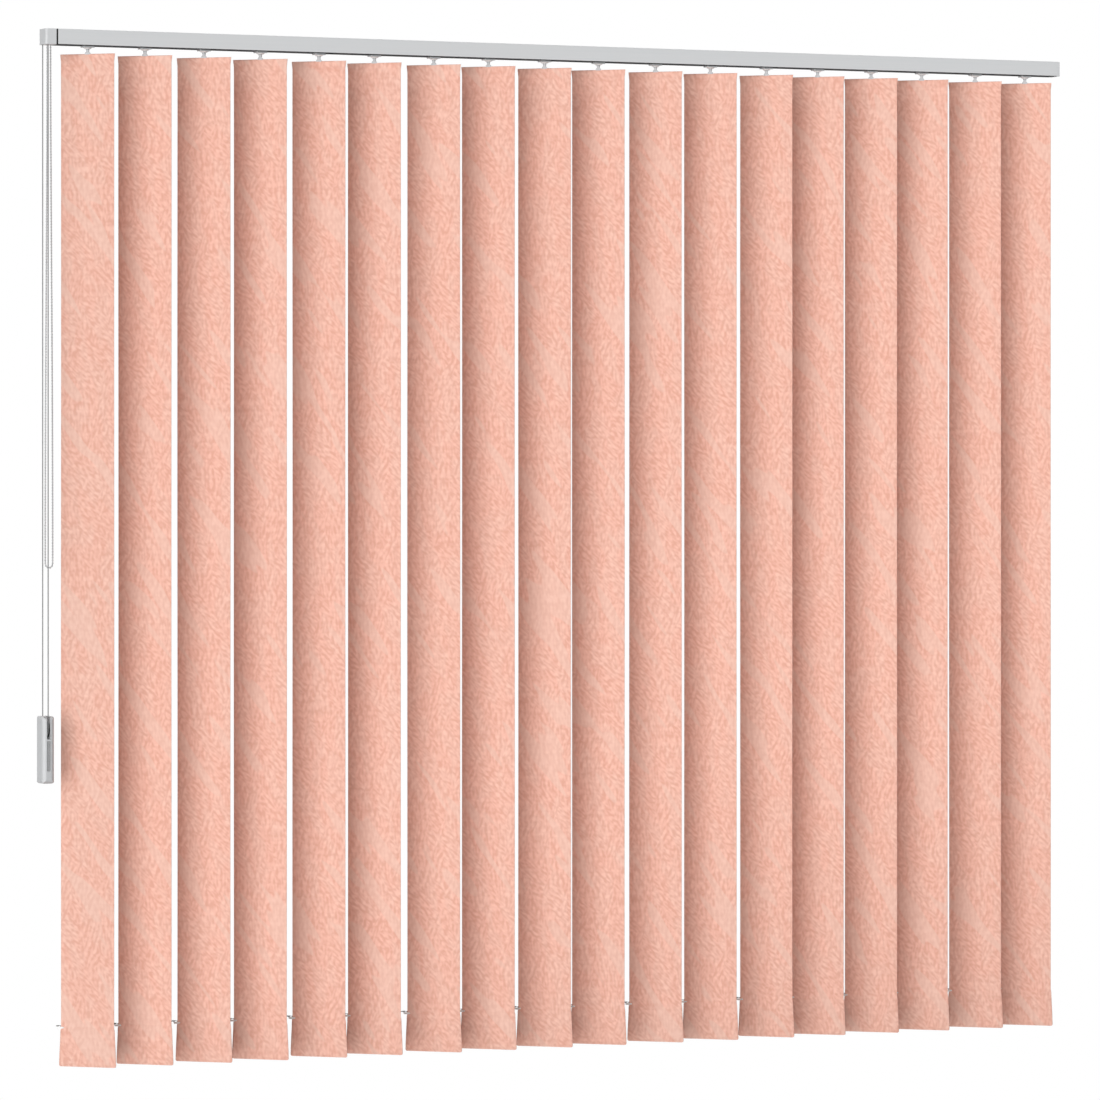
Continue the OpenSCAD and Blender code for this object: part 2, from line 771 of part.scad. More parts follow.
// Turning stem and the waisted, two-jawed hook that holds the hem
module hook_stem() {
    gap = tab_t / 2 + fit;
    outer = jaw_out;
    neck_half = neck_w * 0.36;
    barb_top = z_jaw + barb_h + jaw_t - fit;
    translate([0, 0, z_head - 1])
        cylinder(d = stem_d, h = z_collar - z_head + 2);
    translate([0, 0, z_collar])
        cylinder(d = collar_d, h = collar_h);
    intersection() {
        rotate([90, 0, 90])
            linear_extrude(2 * hook_w, center = true)
                polygon([
                    [-outer, z_jaw], [-outer, louvre_top + head_h * 0.2],
                    [-neck_half, louvre_top + head_h * 0.45], [-neck_half, z_head],
                    [neck_half, z_head], [neck_half, louvre_top + head_h * 0.45],
                    [outer, louvre_top + head_h * 0.2], [outer, z_jaw], [gap, z_jaw],
                    [fit, z_jaw + jaw_t], [fit, barb_top], [gap, barb_top],
                    [gap, louvre_top + fit], [-gap, louvre_top + fit],
                    [-gap, barb_top], [-fit, barb_top], [-fit, z_jaw + jaw_t], [-gap, z_jaw]
                ]);
        rotate([90, 0, 0])
            linear_extrude(4 * outer, center = true)
                polygon([
                    [-hook_w / 2, z_jaw - 1], [hook_w / 2, z_jaw - 1],
                    [hook_w / 2, louvre_top + head_h * 0.2], [neck_w / 2, louvre_top + head_h * 0.45],
                    [neck_w / 2, z_head + 1], [-neck_w / 2, z_head + 1],
                    [-neck_w / 2, louvre_top + head_h * 0.45], [-hook_w / 2, louvre_top + head_h * 0.2]
                ]);
    }
}

// Woven strip, its top hem with the hook's hole, its weighted pocket and the chain's clip
module louvre_strip() {
    difference() {
        union() {
            upright_sheet(fabric_t)
                louvre_outline(0, louvre_drop, 0);
            upright_sheet(top_hem_t)
                louvre_outline(louvre_drop - top_hem_h, louvre_drop - weld_margin, weld_margin);
            upright_sheet(pocket_t)
                louvre_outline(weld_margin, pocket_h, weld_margin);
        }
        // Hole through the hanger for the barbs, and a pocket on each side of it for the jaws
        translate([-hook_w / 2 - run, -jaw_out - fit, z_jaw - run])
            cube([hook_w + 2 * run, 2 * (jaw_out + fit), hole_top - z_jaw + run]);
        for (side = [-1, 1])
            translate([-hook_w / 2 - run, side > 0 ? tab_t / 2 : -jaw_out - fit, z_jaw - run])
                cube([hook_w + 2 * run, jaw_out + fit - tab_t / 2, jaw_reach + run + 1]);
    }
}

// Clip on the rear corner of the pocket, with the upright stud that the chain's ring drops on
module chain_clip() {
    grip_end = -half_w(chain_up) + clip_grip;
    translate([stud_u, -clip_t / 2, z_chain - link_t / 2 - run - clip_h])
        cube([grip_end - stud_u, clip_t, clip_h]);
    translate([stud_u, 0, z_chain - link_t / 2 - run - clip_h])
        cylinder(d = clip_t, h = clip_h);
    translate([stud_u, 0, z_chain - clip_h / 2])
        cylinder(d = stud_d, h = clip_h / 2 + link_t);
}

module louvre(i) {
    translate([carrier_x(i), 0, 0])
        rotate([0, 0, -louvre_angle]) {
            color("gainsboro")
                hook_stem();
            color("lightsalmon")
                louvre_strip();
            color("white")
                chain_clip();
        }
}

headrail();
mounting_clips();
control_housing();
control_cover();
return_end_cap();
tilt_rod();
chain_sprocket();
cord_pulley_front();
cord_pulley_rear();
return_pulley();
rail_cord();
traverse_cord();
tilt_chain();
cord_weight_left();
cord_weight_right();
weight_pulley();
weight_pin();
bottom_chain();
carrier(1);  // carrier_01
carrier(2);  // carrier_02
carrier(3);  // carrier_03
carrier(4);  // carrier_04
carrier(5);  // carrier_05
carrier(6);  // carrier_06
carrier(7);  // carrier_07
carrier(8);  // carrier_08
carrier(9);  // carrier_09
carrier(10);  // carrier_10
carrier(11);  // carrier_11
carrier(12);  // carrier_12
carrier(13);  // carrier_13
carrier(14);  // carrier_14
carrier(15);  // carrier_15
carrier(16);  // carrier_16
carrier(17);  // carrier_17
carrier(18);  // carrier_18
louvre(1);  // louvre_01
louvre(2);  // louvre_02
louvre(3);  // louvre_03
louvre(4);  // louvre_04
louvre(5);  // louvre_05
louvre(6);  // louvre_06
louvre(7);  // louvre_07
louvre(8);  // louvre_08
louvre(9);  // louvre_09
louvre(10);  // louvre_10
louvre(11);  // louvre_11
louvre(12);  // louvre_12
louvre(13);  // louvre_13
louvre(14);  // louvre_14
louvre(15);  // louvre_15
louvre(16);  // louvre_16
louvre(17);  // louvre_17
louvre(18);  // louvre_18
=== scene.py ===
import bmesh
import bpy
import math
from mathutils import Matrix, Vector


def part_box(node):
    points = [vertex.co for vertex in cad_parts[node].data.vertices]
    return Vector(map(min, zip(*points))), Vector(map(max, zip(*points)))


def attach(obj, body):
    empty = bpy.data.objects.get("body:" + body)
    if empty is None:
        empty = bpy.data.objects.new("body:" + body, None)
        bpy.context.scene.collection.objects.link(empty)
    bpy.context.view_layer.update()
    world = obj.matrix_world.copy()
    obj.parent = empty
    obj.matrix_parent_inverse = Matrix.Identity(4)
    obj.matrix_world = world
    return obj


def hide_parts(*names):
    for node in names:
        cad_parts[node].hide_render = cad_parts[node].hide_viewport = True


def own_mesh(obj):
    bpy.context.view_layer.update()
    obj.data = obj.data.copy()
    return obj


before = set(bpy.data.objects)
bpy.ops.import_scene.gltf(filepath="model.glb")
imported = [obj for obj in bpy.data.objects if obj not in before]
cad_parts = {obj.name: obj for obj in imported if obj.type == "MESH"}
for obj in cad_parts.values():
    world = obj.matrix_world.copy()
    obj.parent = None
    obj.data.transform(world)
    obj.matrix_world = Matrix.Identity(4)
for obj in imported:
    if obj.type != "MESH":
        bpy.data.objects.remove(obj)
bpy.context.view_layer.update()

# Room: the blind hangs alone in front of white, lit by one broad soft lamp from the front
# left, a weak one from behind and an even sky. The floor is well below the louvres.
scene = bpy.context.scene
scene.view_settings.view_transform = "Standard"

view = bpy.data.cameras.new("view")
view.sensor_width = 36
view.lens = 196.36
view.shift_y = -0.0718
view.clip_end = 40
viewer = bpy.data.objects.new("viewer", view)
viewer.location = (-4.1460, -8.7791, -0.6873)
viewer.rotation_euler = (math.radians(90), 0, math.radians(-25.10))
scene.collection.objects.link(viewer)
scene.camera = viewer


def put(tree, kind, settings=None, inputs=None):
    node = tree.nodes.new(kind)
    for key, value in (settings or {}).items():
        setattr(node, key, value)
    for key, value in (inputs or {}).items():
        if isinstance(value, bpy.types.NodeSocket):
            tree.links.new(value, node.inputs[key])
        else:
            node.inputs[key].default_value = value
    return node


def seen_directly(tree):
    path = put(tree, "ShaderNodeLightPath")
    glossy = put(tree, "ShaderNodeMath", {"operation": "MAXIMUM"},
                 {0: path.outputs["Is Camera Ray"], 1: path.outputs["Is Glossy Ray"]})
    through = put(tree, "ShaderNodeMath", {"operation": "MAXIMUM"},
                  {0: glossy.outputs[0], 1: path.outputs["Is Transmission Ray"]})
    return through.outputs[0]


def new_finish(name, colour, roughness):
    finish = bpy.data.materials.new(name)
    finish.use_nodes = True
    shader = finish.node_tree.nodes["Principled BSDF"]
    shader.inputs["Base Color"].default_value = (*colour, 1)
    shader.inputs["Roughness"].default_value = roughness
    return finish, shader


def finished(name, shape, finish):
    mesh = bpy.data.meshes.new(name)
    shape.to_mesh(mesh)
    shape.free()
    mesh.materials.append(finish)
    piece = bpy.data.objects.new(name, mesh)
    scene.collection.objects.link(piece)
    return piece


sky = bpy.data.worlds.new("sky")
sky.use_nodes = True
scene.world = sky
sky_tree = sky.node_tree
sky_light = put(sky_tree, "ShaderNodeBackground", None,
                {"Color": (0.91, 1.0, 1.06, 1), "Strength": 0.118})
sky_white = put(sky_tree, "ShaderNodeBackground", None,
                {"Color": (1, 1, 1, 1), "Strength": 1.0})
sky_mix = put(sky_tree, "ShaderNodeMixShader", None,
              {0: seen_directly(sky_tree), 1: sky_light.outputs[0], 2: sky_white.outputs[0]})
sky_tree.links.new(sky_mix.outputs[0], sky_tree.nodes["World Output"].inputs["Surface"])

for lamp_name, energy, spread, left, height in (
        ("key_lamp", 2.9, 70, 43, 2), ("back_lamp", 0.6, 60, 205, 25)):
    lamp = bpy.data.lights.new(lamp_name, "SUN")
    lamp.energy = energy
    lamp.angle = math.radians(spread)
    lamp_object = bpy.data.objects.new(lamp_name, lamp)
    lamp_object.rotation_euler = (math.radians(90 - height), 0, math.radians(-left))
    scene.collection.objects.link(lamp_object)

floor_radius, floor_z, floor_paleness = 2.0, -2.4, 0.94
floor_paint, floor_shader = new_finish("floor_paint", (0.42, 0.42, 0.42), roughness=0.9)
floor_tree = floor_paint.node_tree
floor_white = put(floor_tree, "ShaderNodeEmission", None, {"Color": (1, 1, 1, 1), "Strength": 1.0})
floor_share = put(floor_tree, "ShaderNodeMath", {"operation": "MULTIPLY"},
                  {0: seen_directly(floor_tree), 1: floor_paleness})
floor_mix = put(floor_tree, "ShaderNodeMixShader", None,
                {0: floor_share.outputs[0], 1: floor_shader.outputs[0], 2: floor_white.outputs[0]})
floor_tree.links.new(floor_mix.outputs[0], floor_tree.nodes["Material Output"].inputs["Surface"])
floor_shape = bmesh.new()
bmesh.ops.create_circle(floor_shape, cap_ends=True, segments=96, radius=floor_radius)
bmesh.ops.translate(floor_shape, verts=floor_shape.verts, vec=(0, 0, floor_z))
floor = finished("floor", floor_shape, floor_paint)


# Headrail: an extruded aluminium channel with a pale grey stove enamel. The die leaves
# faint lines along its length and the enamel has a low satin gloss. Painted shade darkens
# its underside and its end by the control end to near black.
def dress(node_names, finish):
    for node_name in node_names:
        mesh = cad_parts[node_name].data
        mesh.materials.clear()
        mesh.materials.append(finish)


# Painted shade: the enamel turns near black on the rail's underside (low Z) and at its end next to
# the control end (low X).
shade_under_from, shade_under_full = -0.0236, -0.0239
shade_end_from, shade_end_full = -0.8841, -0.8843
enamel, enamel_shader = new_finish("rail_enamel", (0.66, 0.665, 0.672), roughness=0.38)
enamel_tree = enamel.node_tree
enamel_where = put(enamel_tree, "ShaderNodeTexCoord")
die_lines_at = put(enamel_tree, "ShaderNodeMapping", None,
                   {"Vector": enamel_where.outputs["Object"], "Scale": (2.2, 900, 900)})
die_lines = put(enamel_tree, "ShaderNodeTexNoise", None,
                {"Vector": die_lines_at.outputs[0], "Scale": 1.0, "Detail": 3.0})
orange_peel = put(enamel_tree, "ShaderNodeTexNoise", None,
                  {"Vector": enamel_where.outputs["Object"], "Scale": 520.0, "Detail": 2.0})
enamel_tint = put(enamel_tree, "ShaderNodeMix", {"data_type": "RGBA"},
                  {"Factor": die_lines.outputs["Fac"], 6: (0.750, 0.755, 0.760, 1),
                   7: (0.795, 0.797, 0.800, 1)})
enamel_place = put(enamel_tree, "ShaderNodeSeparateXYZ", None, {0: enamel_where.outputs["Object"]})
under_shade_line = put(enamel_tree, "ShaderNodeMapRange", None,
                 {"Value": enamel_place.outputs["Z"], "From Min": shade_under_from,
                  "From Max": shade_under_full})
end_shade_line = put(enamel_tree, "ShaderNodeMapRange", None,
               {"Value": enamel_place.outputs["X"], "From Min": shade_end_from,
                "From Max": shade_end_full})
painted_shade_share = put(enamel_tree, "ShaderNodeMath", {"operation": "MAXIMUM"},
                 {0: under_shade_line.outputs[0], 1: end_shade_line.outputs[0]})
# Painted shade is mixed into the enamel's colour here.
enamel_colour = put(enamel_tree, "ShaderNodeMix", {"data_type": "RGBA"},
                    {"Factor": painted_shade_share.outputs[0], 6: enamel_tint.outputs[2],
                     7: (0.018, 0.018, 0.019, 1)})
enamel_tree.links.new(enamel_colour.outputs[2], enamel_shader.inputs["Base Color"])
enamel_gloss = put(enamel_tree, "ShaderNodeMapRange", None,
                   {"Value": orange_peel.outputs["Fac"], "To Min": 0.32, "To Max": 0.46})
enamel_rough = put(enamel_tree, "ShaderNodeMath", {"operation": "MAXIMUM"},
                   {0: enamel_gloss.outputs[0], 1: painted_shade_share.outputs[0]})
enamel_tree.links.new(enamel_rough.outputs[0], enamel_shader.inputs["Roughness"])
enamel_shader.inputs["Specular IOR Level"].default_value = 0.12
enamel_bump = put(enamel_tree, "ShaderNodeBump", None,
                  {"Strength": 0.06, "Distance": 0.0004, "Height": die_lines.outputs["Fac"]})
enamel_peel = put(enamel_tree, "ShaderNodeBump", None,
                  {"Strength": 0.03, "Distance": 0.0003, "Height": orange_peel.outputs["Fac"],
                   "Normal": enamel_bump.outputs[0]})
enamel_tree.links.new(enamel_peel.outputs[0], enamel_shader.inputs["Normal"])
dress(["headrail"], enamel)

# Ceiling clips: spring steel pressings with bright zinc plating, screwed to the ceiling.
# The plating has a fine cloudy spangle.
zinc, zinc_shader = new_finish("clip_zinc", (0.60, 0.61, 0.62), roughness=0.34)
zinc_shader.inputs["Metallic"].default_value = 1.0
zinc_tree = zinc.node_tree
zinc_where = put(zinc_tree, "ShaderNodeTexCoord")
spangle = put(zinc_tree, "ShaderNodeTexVoronoi", None,
              {"Vector": zinc_where.outputs["Object"], "Scale": 260.0})
zinc_tint = put(zinc_tree, "ShaderNodeMix", {"data_type": "RGBA"},
                {"Factor": spangle.outputs["Distance"], 6: (0.66, 0.67, 0.68, 1),
                 7: (0.48, 0.49, 0.51, 1)})
zinc_tree.links.new(zinc_tint.outputs[2], zinc_shader.inputs["Base Color"])
zinc_gloss = put(zinc_tree, "ShaderNodeMapRange", None,
                 {"Value": spangle.outputs["Distance"], "To Min": 0.26, "To Max": 0.44})
zinc_tree.links.new(zinc_gloss.outputs[0], zinc_shader.inputs["Roughness"])
dress(["mounting_clips"], zinc)


# Control end and return cap: injection moulded shells pushed into the rail's ends. The
# tools are spark eroded, which leaves a fine matt grain with a slight cloudiness.
def new_effect(name, inputs, outputs):
    effect = bpy.data.node_groups.new(name, "ShaderNodeTree")
    for socket_name, kind, value in inputs:
        socket = effect.interface.new_socket(socket_name, in_out="INPUT", socket_type=kind)
        if value is not None:
            socket.default_value = value
    for socket_name, kind in outputs:
        effect.interface.new_socket(socket_name, in_out="OUTPUT", socket_type=kind)
    return effect, put(effect, "NodeGroupInput"), put(effect, "NodeGroupOutput")


def lay_skin(tree, shader, skin, bump, depth):
    tree.links.new(skin.outputs["Colour"], shader.inputs["Base Color"])
    tree.links.new(skin.outputs["Roughness"], shader.inputs["Roughness"])
    relief = put(tree, "ShaderNodeBump", None,
                 {"Strength": bump, "Distance": depth, "Height": skin.outputs["Height"]})
    tree.links.new(relief.outputs[0], shader.inputs["Normal"])


skin_outputs = [("Colour", "NodeSocketColor"), ("Roughness", "NodeSocketFloat"),
                ("Height", "NodeSocketFloat")]
grain, grain_in, grain_out = new_effect(
    "moulded_grain",
    [("Vector", "NodeSocketVector", None), ("Grain Scale", "NodeSocketFloat", 900.0),
     ("Pale", "NodeSocketColor", (0.7, 0.7, 0.7, 1)),
     ("Deep", "NodeSocketColor", (0.6, 0.6, 0.6, 1)),
     ("Smooth", "NodeSocketFloat", 0.35), ("Matt", "NodeSocketFloat", 0.5)],
    skin_outputs)
grain_fine = put(grain, "ShaderNodeTexNoise", None,
                 {"Vector": grain_in.outputs["Vector"], "Scale": grain_in.outputs["Grain Scale"],
                  "Detail": 2.0})
grain_cloud = put(grain, "ShaderNodeTexNoise", None,
                  {"Vector": grain_in.outputs["Vector"], "Scale": 46.0, "Detail": 3.0})
grain_both = put(grain, "ShaderNodeMath", {"operation": "MULTIPLY_ADD"},
                 {0: grain_fine.outputs["Fac"], 1: 0.35, 2: -0.17})
grain_share = put(grain, "ShaderNodeMath", {"operation": "ADD", "use_clamp": True},
                  {0: grain_cloud.outputs["Fac"], 1: grain_both.outputs[0]})
grain_tint = put(grain, "ShaderNodeMix", {"data_type": "RGBA"},
                 {"Factor": grain_share.outputs[0], 6: grain_in.outputs["Deep"],
                  7: grain_in.outputs["Pale"]})
grain_gloss = put(grain, "ShaderNodeMapRange", None,
                  {"Value": grain_share.outputs[0], "To Min": grain_in.outputs["Smooth"],
                   "To Max": grain_in.outputs["Matt"]})
grain.links.new(grain_tint.outputs[2], grain_out.inputs["Colour"])
grain.links.new(grain_gloss.outputs[0], grain_out.inputs["Roughness"])
grain.links.new(grain_fine.outputs["Fac"], grain_out.inputs["Height"])


def moulded_finish(name, pale, deep, smooth, matt, scale, bump):
    finish, shader = new_finish(name, pale, smooth)
    tree = finish.node_tree
    where = put(tree, "ShaderNodeTexCoord")
    skin = put(tree, "ShaderNodeGroup", {"node_tree": grain},
               {"Vector": where.outputs["Object"], "Grain Scale": scale, "Pale": (*pale, 1),
                "Deep": (*deep, 1), "Smooth": smooth, "Matt": matt})
    lay_skin(tree, shader, skin, bump, depth=0.0003)
    return finish, shader


end_moulding = moulded_finish(
    "end_moulding", (0.77, 0.772, 0.776), (0.70, 0.703, 0.708),
    smooth=0.34, matt=0.48, scale=950.0, bump=0.10)[0]
dress(["control_housing", "return_end_cap"], end_moulding)
# Painted shade: the cover at the outer end gets a darker copy of the end moulding's colour, for
# its side.
cover_painted_shade = moulded_finish(
    "cover_painted_shade", (0.68, 0.682, 0.686), (0.61, 0.613, 0.618),
    smooth=0.34, matt=0.48, scale=950.0, bump=0.10)[0]
dress(["control_cover"], cover_painted_shade)

# Gap frame: a thin black frame between the control end and the rail's end, held by the plug
# that passes through it. Its black is painted shade for the deep gap there, drawn as rubber.
gap_shade_black, gap_shade_shader = moulded_finish(
    "gap_shade_black", (0.022, 0.022, 0.023), (0.012, 0.012, 0.013),
    smooth=0.6, matt=0.8, scale=1200.0, bump=0.15)
gap_shade_shader.inputs["Specular IOR Level"].default_value = 0.15
frame_near_x, frame_far_x = -0.8868, -0.8850
frame_outside, frame_inside = (0.0147, -0.0003, -0.0242), (0.0134, -0.0014, -0.0231)
gap_frame_shape = bmesh.new()
frame_rings = []
for frame_x in (frame_near_x, frame_far_x):
    for half_deep, top, foot in (frame_outside, frame_inside):
        corners = ((-half_deep, foot), (half_deep, foot), (half_deep, top), (-half_deep, top))
        frame_rings.append([gap_frame_shape.verts.new((frame_x, y, z)) for y, z in corners])
near_out, near_in, far_out, far_in = frame_rings
for one, other in ((near_out, far_out), (far_in, near_in), (near_in, near_out), (far_out, far_in)):
    for k in range(4):
        gap_frame_shape.faces.new((one[k], one[(k + 1) % 4], other[(k + 1) % 4], other[k]))
bmesh.ops.recalc_face_normals(gap_frame_shape, faces=gap_frame_shape.faces)
gap_shade_frame = finished("gap_shade_frame", gap_frame_shape, gap_shade_black)
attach(gap_shade_frame, "rail")

# Tilt drive: a fluted aluminium rod runs the whole rail and turns every carrier's worm. A
# moulded wheel with pockets for the beads is pressed on its control end.
rod_metal, rod_shader = new_finish("rod_metal", (0.72, 0.73, 0.74), roughness=0.3)
rod_shader.inputs["Metallic"].default_value = 1.0
rod_tree = rod_metal.node_tree
rod_where = put(rod_tree, "ShaderNodeTexCoord")
rod_lines_at = put(rod_tree, "ShaderNodeMapping", None,
                   {"Vector": rod_where.outputs["Object"], "Scale": (3.0, 1400, 1400)})
rod_lines = put(rod_tree, "ShaderNodeTexNoise", None,
                {"Vector": rod_lines_at.outputs[0], "Scale": 1.0})
rod_tint = put(rod_tree, "ShaderNodeMix", {"data_type": "RGBA"},
               {"Factor": rod_lines.outputs["Fac"], 6: (0.62, 0.63, 0.64, 1),
                7: (0.80, 0.81, 0.82, 1)})
rod_tree.links.new(rod_tint.outputs[2], rod_shader.inputs["Base Color"])
rod_gloss = put(rod_tree, "ShaderNodeMapRange", None,
                {"Value": rod_lines.outputs["Fac"], "To Min": 0.22, "To Max": 0.42})
rod_tree.links.new(rod_gloss.outputs[0], rod_shader.inputs["Roughness"])
dress(["tilt_rod"], rod_metal)

# Wheels and pulleys: natural acetal, creamy white and waxy, turning on moulded stubs in the
# housing and on the return end's post. The one on the steel pin in the weight is black acetal,
# and its black also stands in for the shade in the weight's slot: painted shade.
acetal, acetal_shader = moulded_finish(
    "acetal", (0.80, 0.79, 0.75), (0.74, 0.73, 0.69),
    smooth=0.28, matt=0.36, scale=600.0, bump=0.04)
acetal_shader.inputs["Subsurface Weight"].default_value = 0.05
acetal_shader.inputs["Subsurface Radius"].default_value = (0.002, 0.002, 0.002)
dress(["chain_sprocket", "cord_pulley_front", "cord_pulley_rear", "return_pulley"], acetal)
# Painted shade: the weight's pulley is black, partly its own colour and partly the slot's shade.
black_acetal_slot_shade, slot_shade_shader = moulded_finish(
    "black_acetal_slot_shade", (0.022, 0.022, 0.023), (0.012, 0.012, 0.013),
    smooth=0.40, matt=0.55, scale=600.0, bump=0.04)
slot_shade_shader.inputs["Specular IOR Level"].default_value = 0.15
dress(["weight_pulley"], black_acetal_slot_shade)
pin_steel, pin_shader = new_finish("pin_steel", (0.56, 0.57, 0.58), roughness=0.25)
pin_shader.inputs["Metallic"].default_value = 1.0
pin_tree = pin_steel.node_tree
pin_where = put(pin_tree, "ShaderNodeTexCoord")
pin_marks = put(pin_tree, "ShaderNodeTexNoise", None,
                {"Vector": pin_where.outputs["Object"], "Scale": 1500.0, "Detail": 3.0})
pin_gloss = put(pin_tree, "ShaderNodeMapRange", None,
                {"Value": pin_marks.outputs["Fac"], "To Min": 0.18, "To Max": 0.36})
pin_tree.links.new(pin_gloss.outputs[0], pin_shader.inputs["Roughness"])
dress(["weight_pin"], pin_steel)

# Carriers: clear-grey moulded trucks that run in the rail on four small wheels. Each has a flat
# plate under the rail's slot and a whiter boss that the louvre's turning stem comes out of.
truck_plastic, truck_shader = moulded_finish(
    "truck_plastic", (0.58, 0.59, 0.60), (0.48, 0.49, 0.50),
    smooth=0.22, matt=0.36, scale=700.0, bump=0.05)
truck_shader.inputs["Subsurface Weight"].default_value = 0.08
truck_shader.inputs["Subsurface Radius"].default_value = (0.003, 0.003, 0.003)
truck_tree = truck_plastic.node_tree
truck_grain = truck_shader.inputs["Base Color"].links[0].from_socket
truck_where = put(truck_tree, "ShaderNodeTexCoord")
truck_place = put(truck_tree, "ShaderNodeSeparateXYZ", None, {0: truck_where.outputs["Object"]})
boss_from, boss_full = -0.0271, -0.0273
boss_share = put(truck_tree, "ShaderNodeMapRange", None,
                 {"Value": truck_place.outputs["Z"], "From Min": boss_from, "From Max": boss_full})
truck_colour = put(truck_tree, "ShaderNodeMix", {"data_type": "RGBA"},
                   {"Factor": boss_share.outputs[0], 6: truck_grain, 7: (0.93, 0.93, 0.925, 1)})
truck_tree.links.new(truck_colour.outputs[2], truck_shader.inputs["Base Color"])
louvre_count = 18
dress([f"carrier_{i:02d}" for i in range(1, louvre_count + 1)], truck_plastic)

# Traverse cord: a braided polyester cord, 1.8 mm, mid grey. One loop leaves the housing at
# the front, goes round the pulley in the weight and back up to the rear.
braid, braid_in, braid_out = new_effect(
    "cord_braid",
    [("Around And Along", "NodeSocketVector", None), ("Strands", "NodeSocketFloat", 6.0),
     ("Turns", "NodeSocketFloat", 190.0)],
    skin_outputs)
braid_uv = put(braid, "ShaderNodeSeparateXYZ", None, {0: braid_in.outputs["Around And Along"]})
braid_round = put(braid, "ShaderNodeMath", {"operation": "MULTIPLY"},
                  {0: braid_uv.outputs["X"], 1: braid_in.outputs["Strands"]})
braid_up = put(braid, "ShaderNodeMath", {"operation": "MULTIPLY"},
               {0: braid_uv.outputs["Y"], 1: braid_in.outputs["Turns"]})
braid_waves = []
for braid_way in ("ADD", "SUBTRACT"):
    lean = put(braid, "ShaderNodeMath", {"operation": braid_way},
               {0: braid_round.outputs[0], 1: braid_up.outputs[0]})
    lean_turn = put(braid, "ShaderNodeMath", {"operation": "MULTIPLY"},
                    {0: lean.outputs[0], 1: math.tau})
    braid_waves.append(put(braid, "ShaderNodeMath", {"operation": "COSINE"},
                           {0: lean_turn.outputs[0]}))
braid_high = put(braid, "ShaderNodeMath", {"operation": "MAXIMUM"},
                 {0: braid_waves[0].outputs[0], 1: braid_waves[1].outputs[0]})
braid_height = put(braid, "ShaderNodeMapRange", None,
                   {"Value": braid_high.outputs[0], "From Min": -0.6})
# Painted shade: the braid's grooves between strands are coloured darker than its ridges.
braid_groove_shade = put(braid, "ShaderNodeMix", {"data_type": "RGBA"},
                 {"Factor": braid_height.outputs[0], 6: (0.15, 0.15, 0.155, 1),
                  7: (0.35, 0.35, 0.355, 1)})
braid_gloss = put(braid, "ShaderNodeMapRange", None,
                  {"Value": braid_height.outputs[0], "To Min": 0.8, "To Max": 0.55})
braid.links.new(braid_groove_shade.outputs[2], braid_out.inputs["Colour"])
braid.links.new(braid_gloss.outputs[0], braid_out.inputs["Roughness"])
braid.links.new(braid_height.outputs[0], braid_out.inputs["Height"])


def braided_finish(name, strands):
    finish, shader = new_finish(name, (0.35, 0.35, 0.35), roughness=0.6)
    tree = finish.node_tree
    skin = put(tree, "ShaderNodeGroup", {"node_tree": braid}, {"Strands": strands, "Turns": 210.0})
    lay_skin(tree, shader, skin, bump=0.5, depth=0.0003)
    shader.inputs["Sheen Weight"].default_value = 0.15
    return finish, tree, skin


cord_yarn, cord_tree, cord_skin = braided_finish("cord_yarn", 4.0)
cord_where = put(cord_tree, "ShaderNodeUVMap", {"uv_map": "round_and_along"})
cord_tree.links.new(cord_where.outputs[0], cord_skin.inputs["Around And Along"])


def tube(name, route, diameter, finish, sides=10):
    route = [Vector(p) for p in route]
    shape = bmesh.new()
    uv = shape.loops.layers.uv.new("round_and_along")
    rings, along, run = [], [], 0.0
    across = None
    for k, point in enumerate(route):
        ahead = (route[min(k + 1, len(route) - 1)] - route[max(k - 1, 0)]).normalized()
        if across is None:
            across = ahead.orthogonal().normalized()
        across = (across - ahead * across.dot(ahead)).normalized()
        beside = ahead.cross(across)
        if k:
            run += (point - route[k - 1]).length
        along.append(run)
        ring = []
        for s in range(sides):
            turn = math.tau * s / sides
            out = across * math.cos(turn) + beside * math.sin(turn)
            ring.append(shape.verts.new(point + out * diameter / 2))
        rings.append(ring)
    for k in range(len(rings) - 1):
        for s in range(sides):
            face = shape.faces.new((rings[k][s], rings[k][(s + 1) % sides],
                                    rings[k + 1][(s + 1) % sides], rings[k + 1][s]))
            face.smooth = True
            corners = ((s, k), (s + 1, k), (s + 1, k + 1), (s, k + 1))
            for loop, (turn, row) in zip(face.loops, corners):
                loop[uv].uv = (turn / sides, along[row])
    shape.faces.new(list(reversed(rings[0])))
    shape.faces.new(rings[-1])
    return finished(name, shape, finish), run


cord_x, cord_half, cord_top, cord_low = -0.8998, 0.0122, -0.013, -1.089
cord_width, fall_steps, turn_steps = 0.0018, 60, 18
cord_route = [(cord_x, -cord_half, cord_top + (cord_low - cord_top) * k / fall_steps)
              for k in range(fall_steps)]
cord_route += [(cord_x, -cord_half * math.cos(a), cord_low - cord_half * math.sin(a))
               for a in (math.pi * k / turn_steps for k in range(turn_steps))]
cord_route += [(cord_x, cord_half, cord_low + (cord_top - cord_low) * k / fall_steps)
               for k in range(fall_steps + 1)]
cord_loop, cord_length = tube("cord_loop", cord_route, cord_width, cord_yarn)
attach(cord_loop, "rail")
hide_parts("traverse_cord")

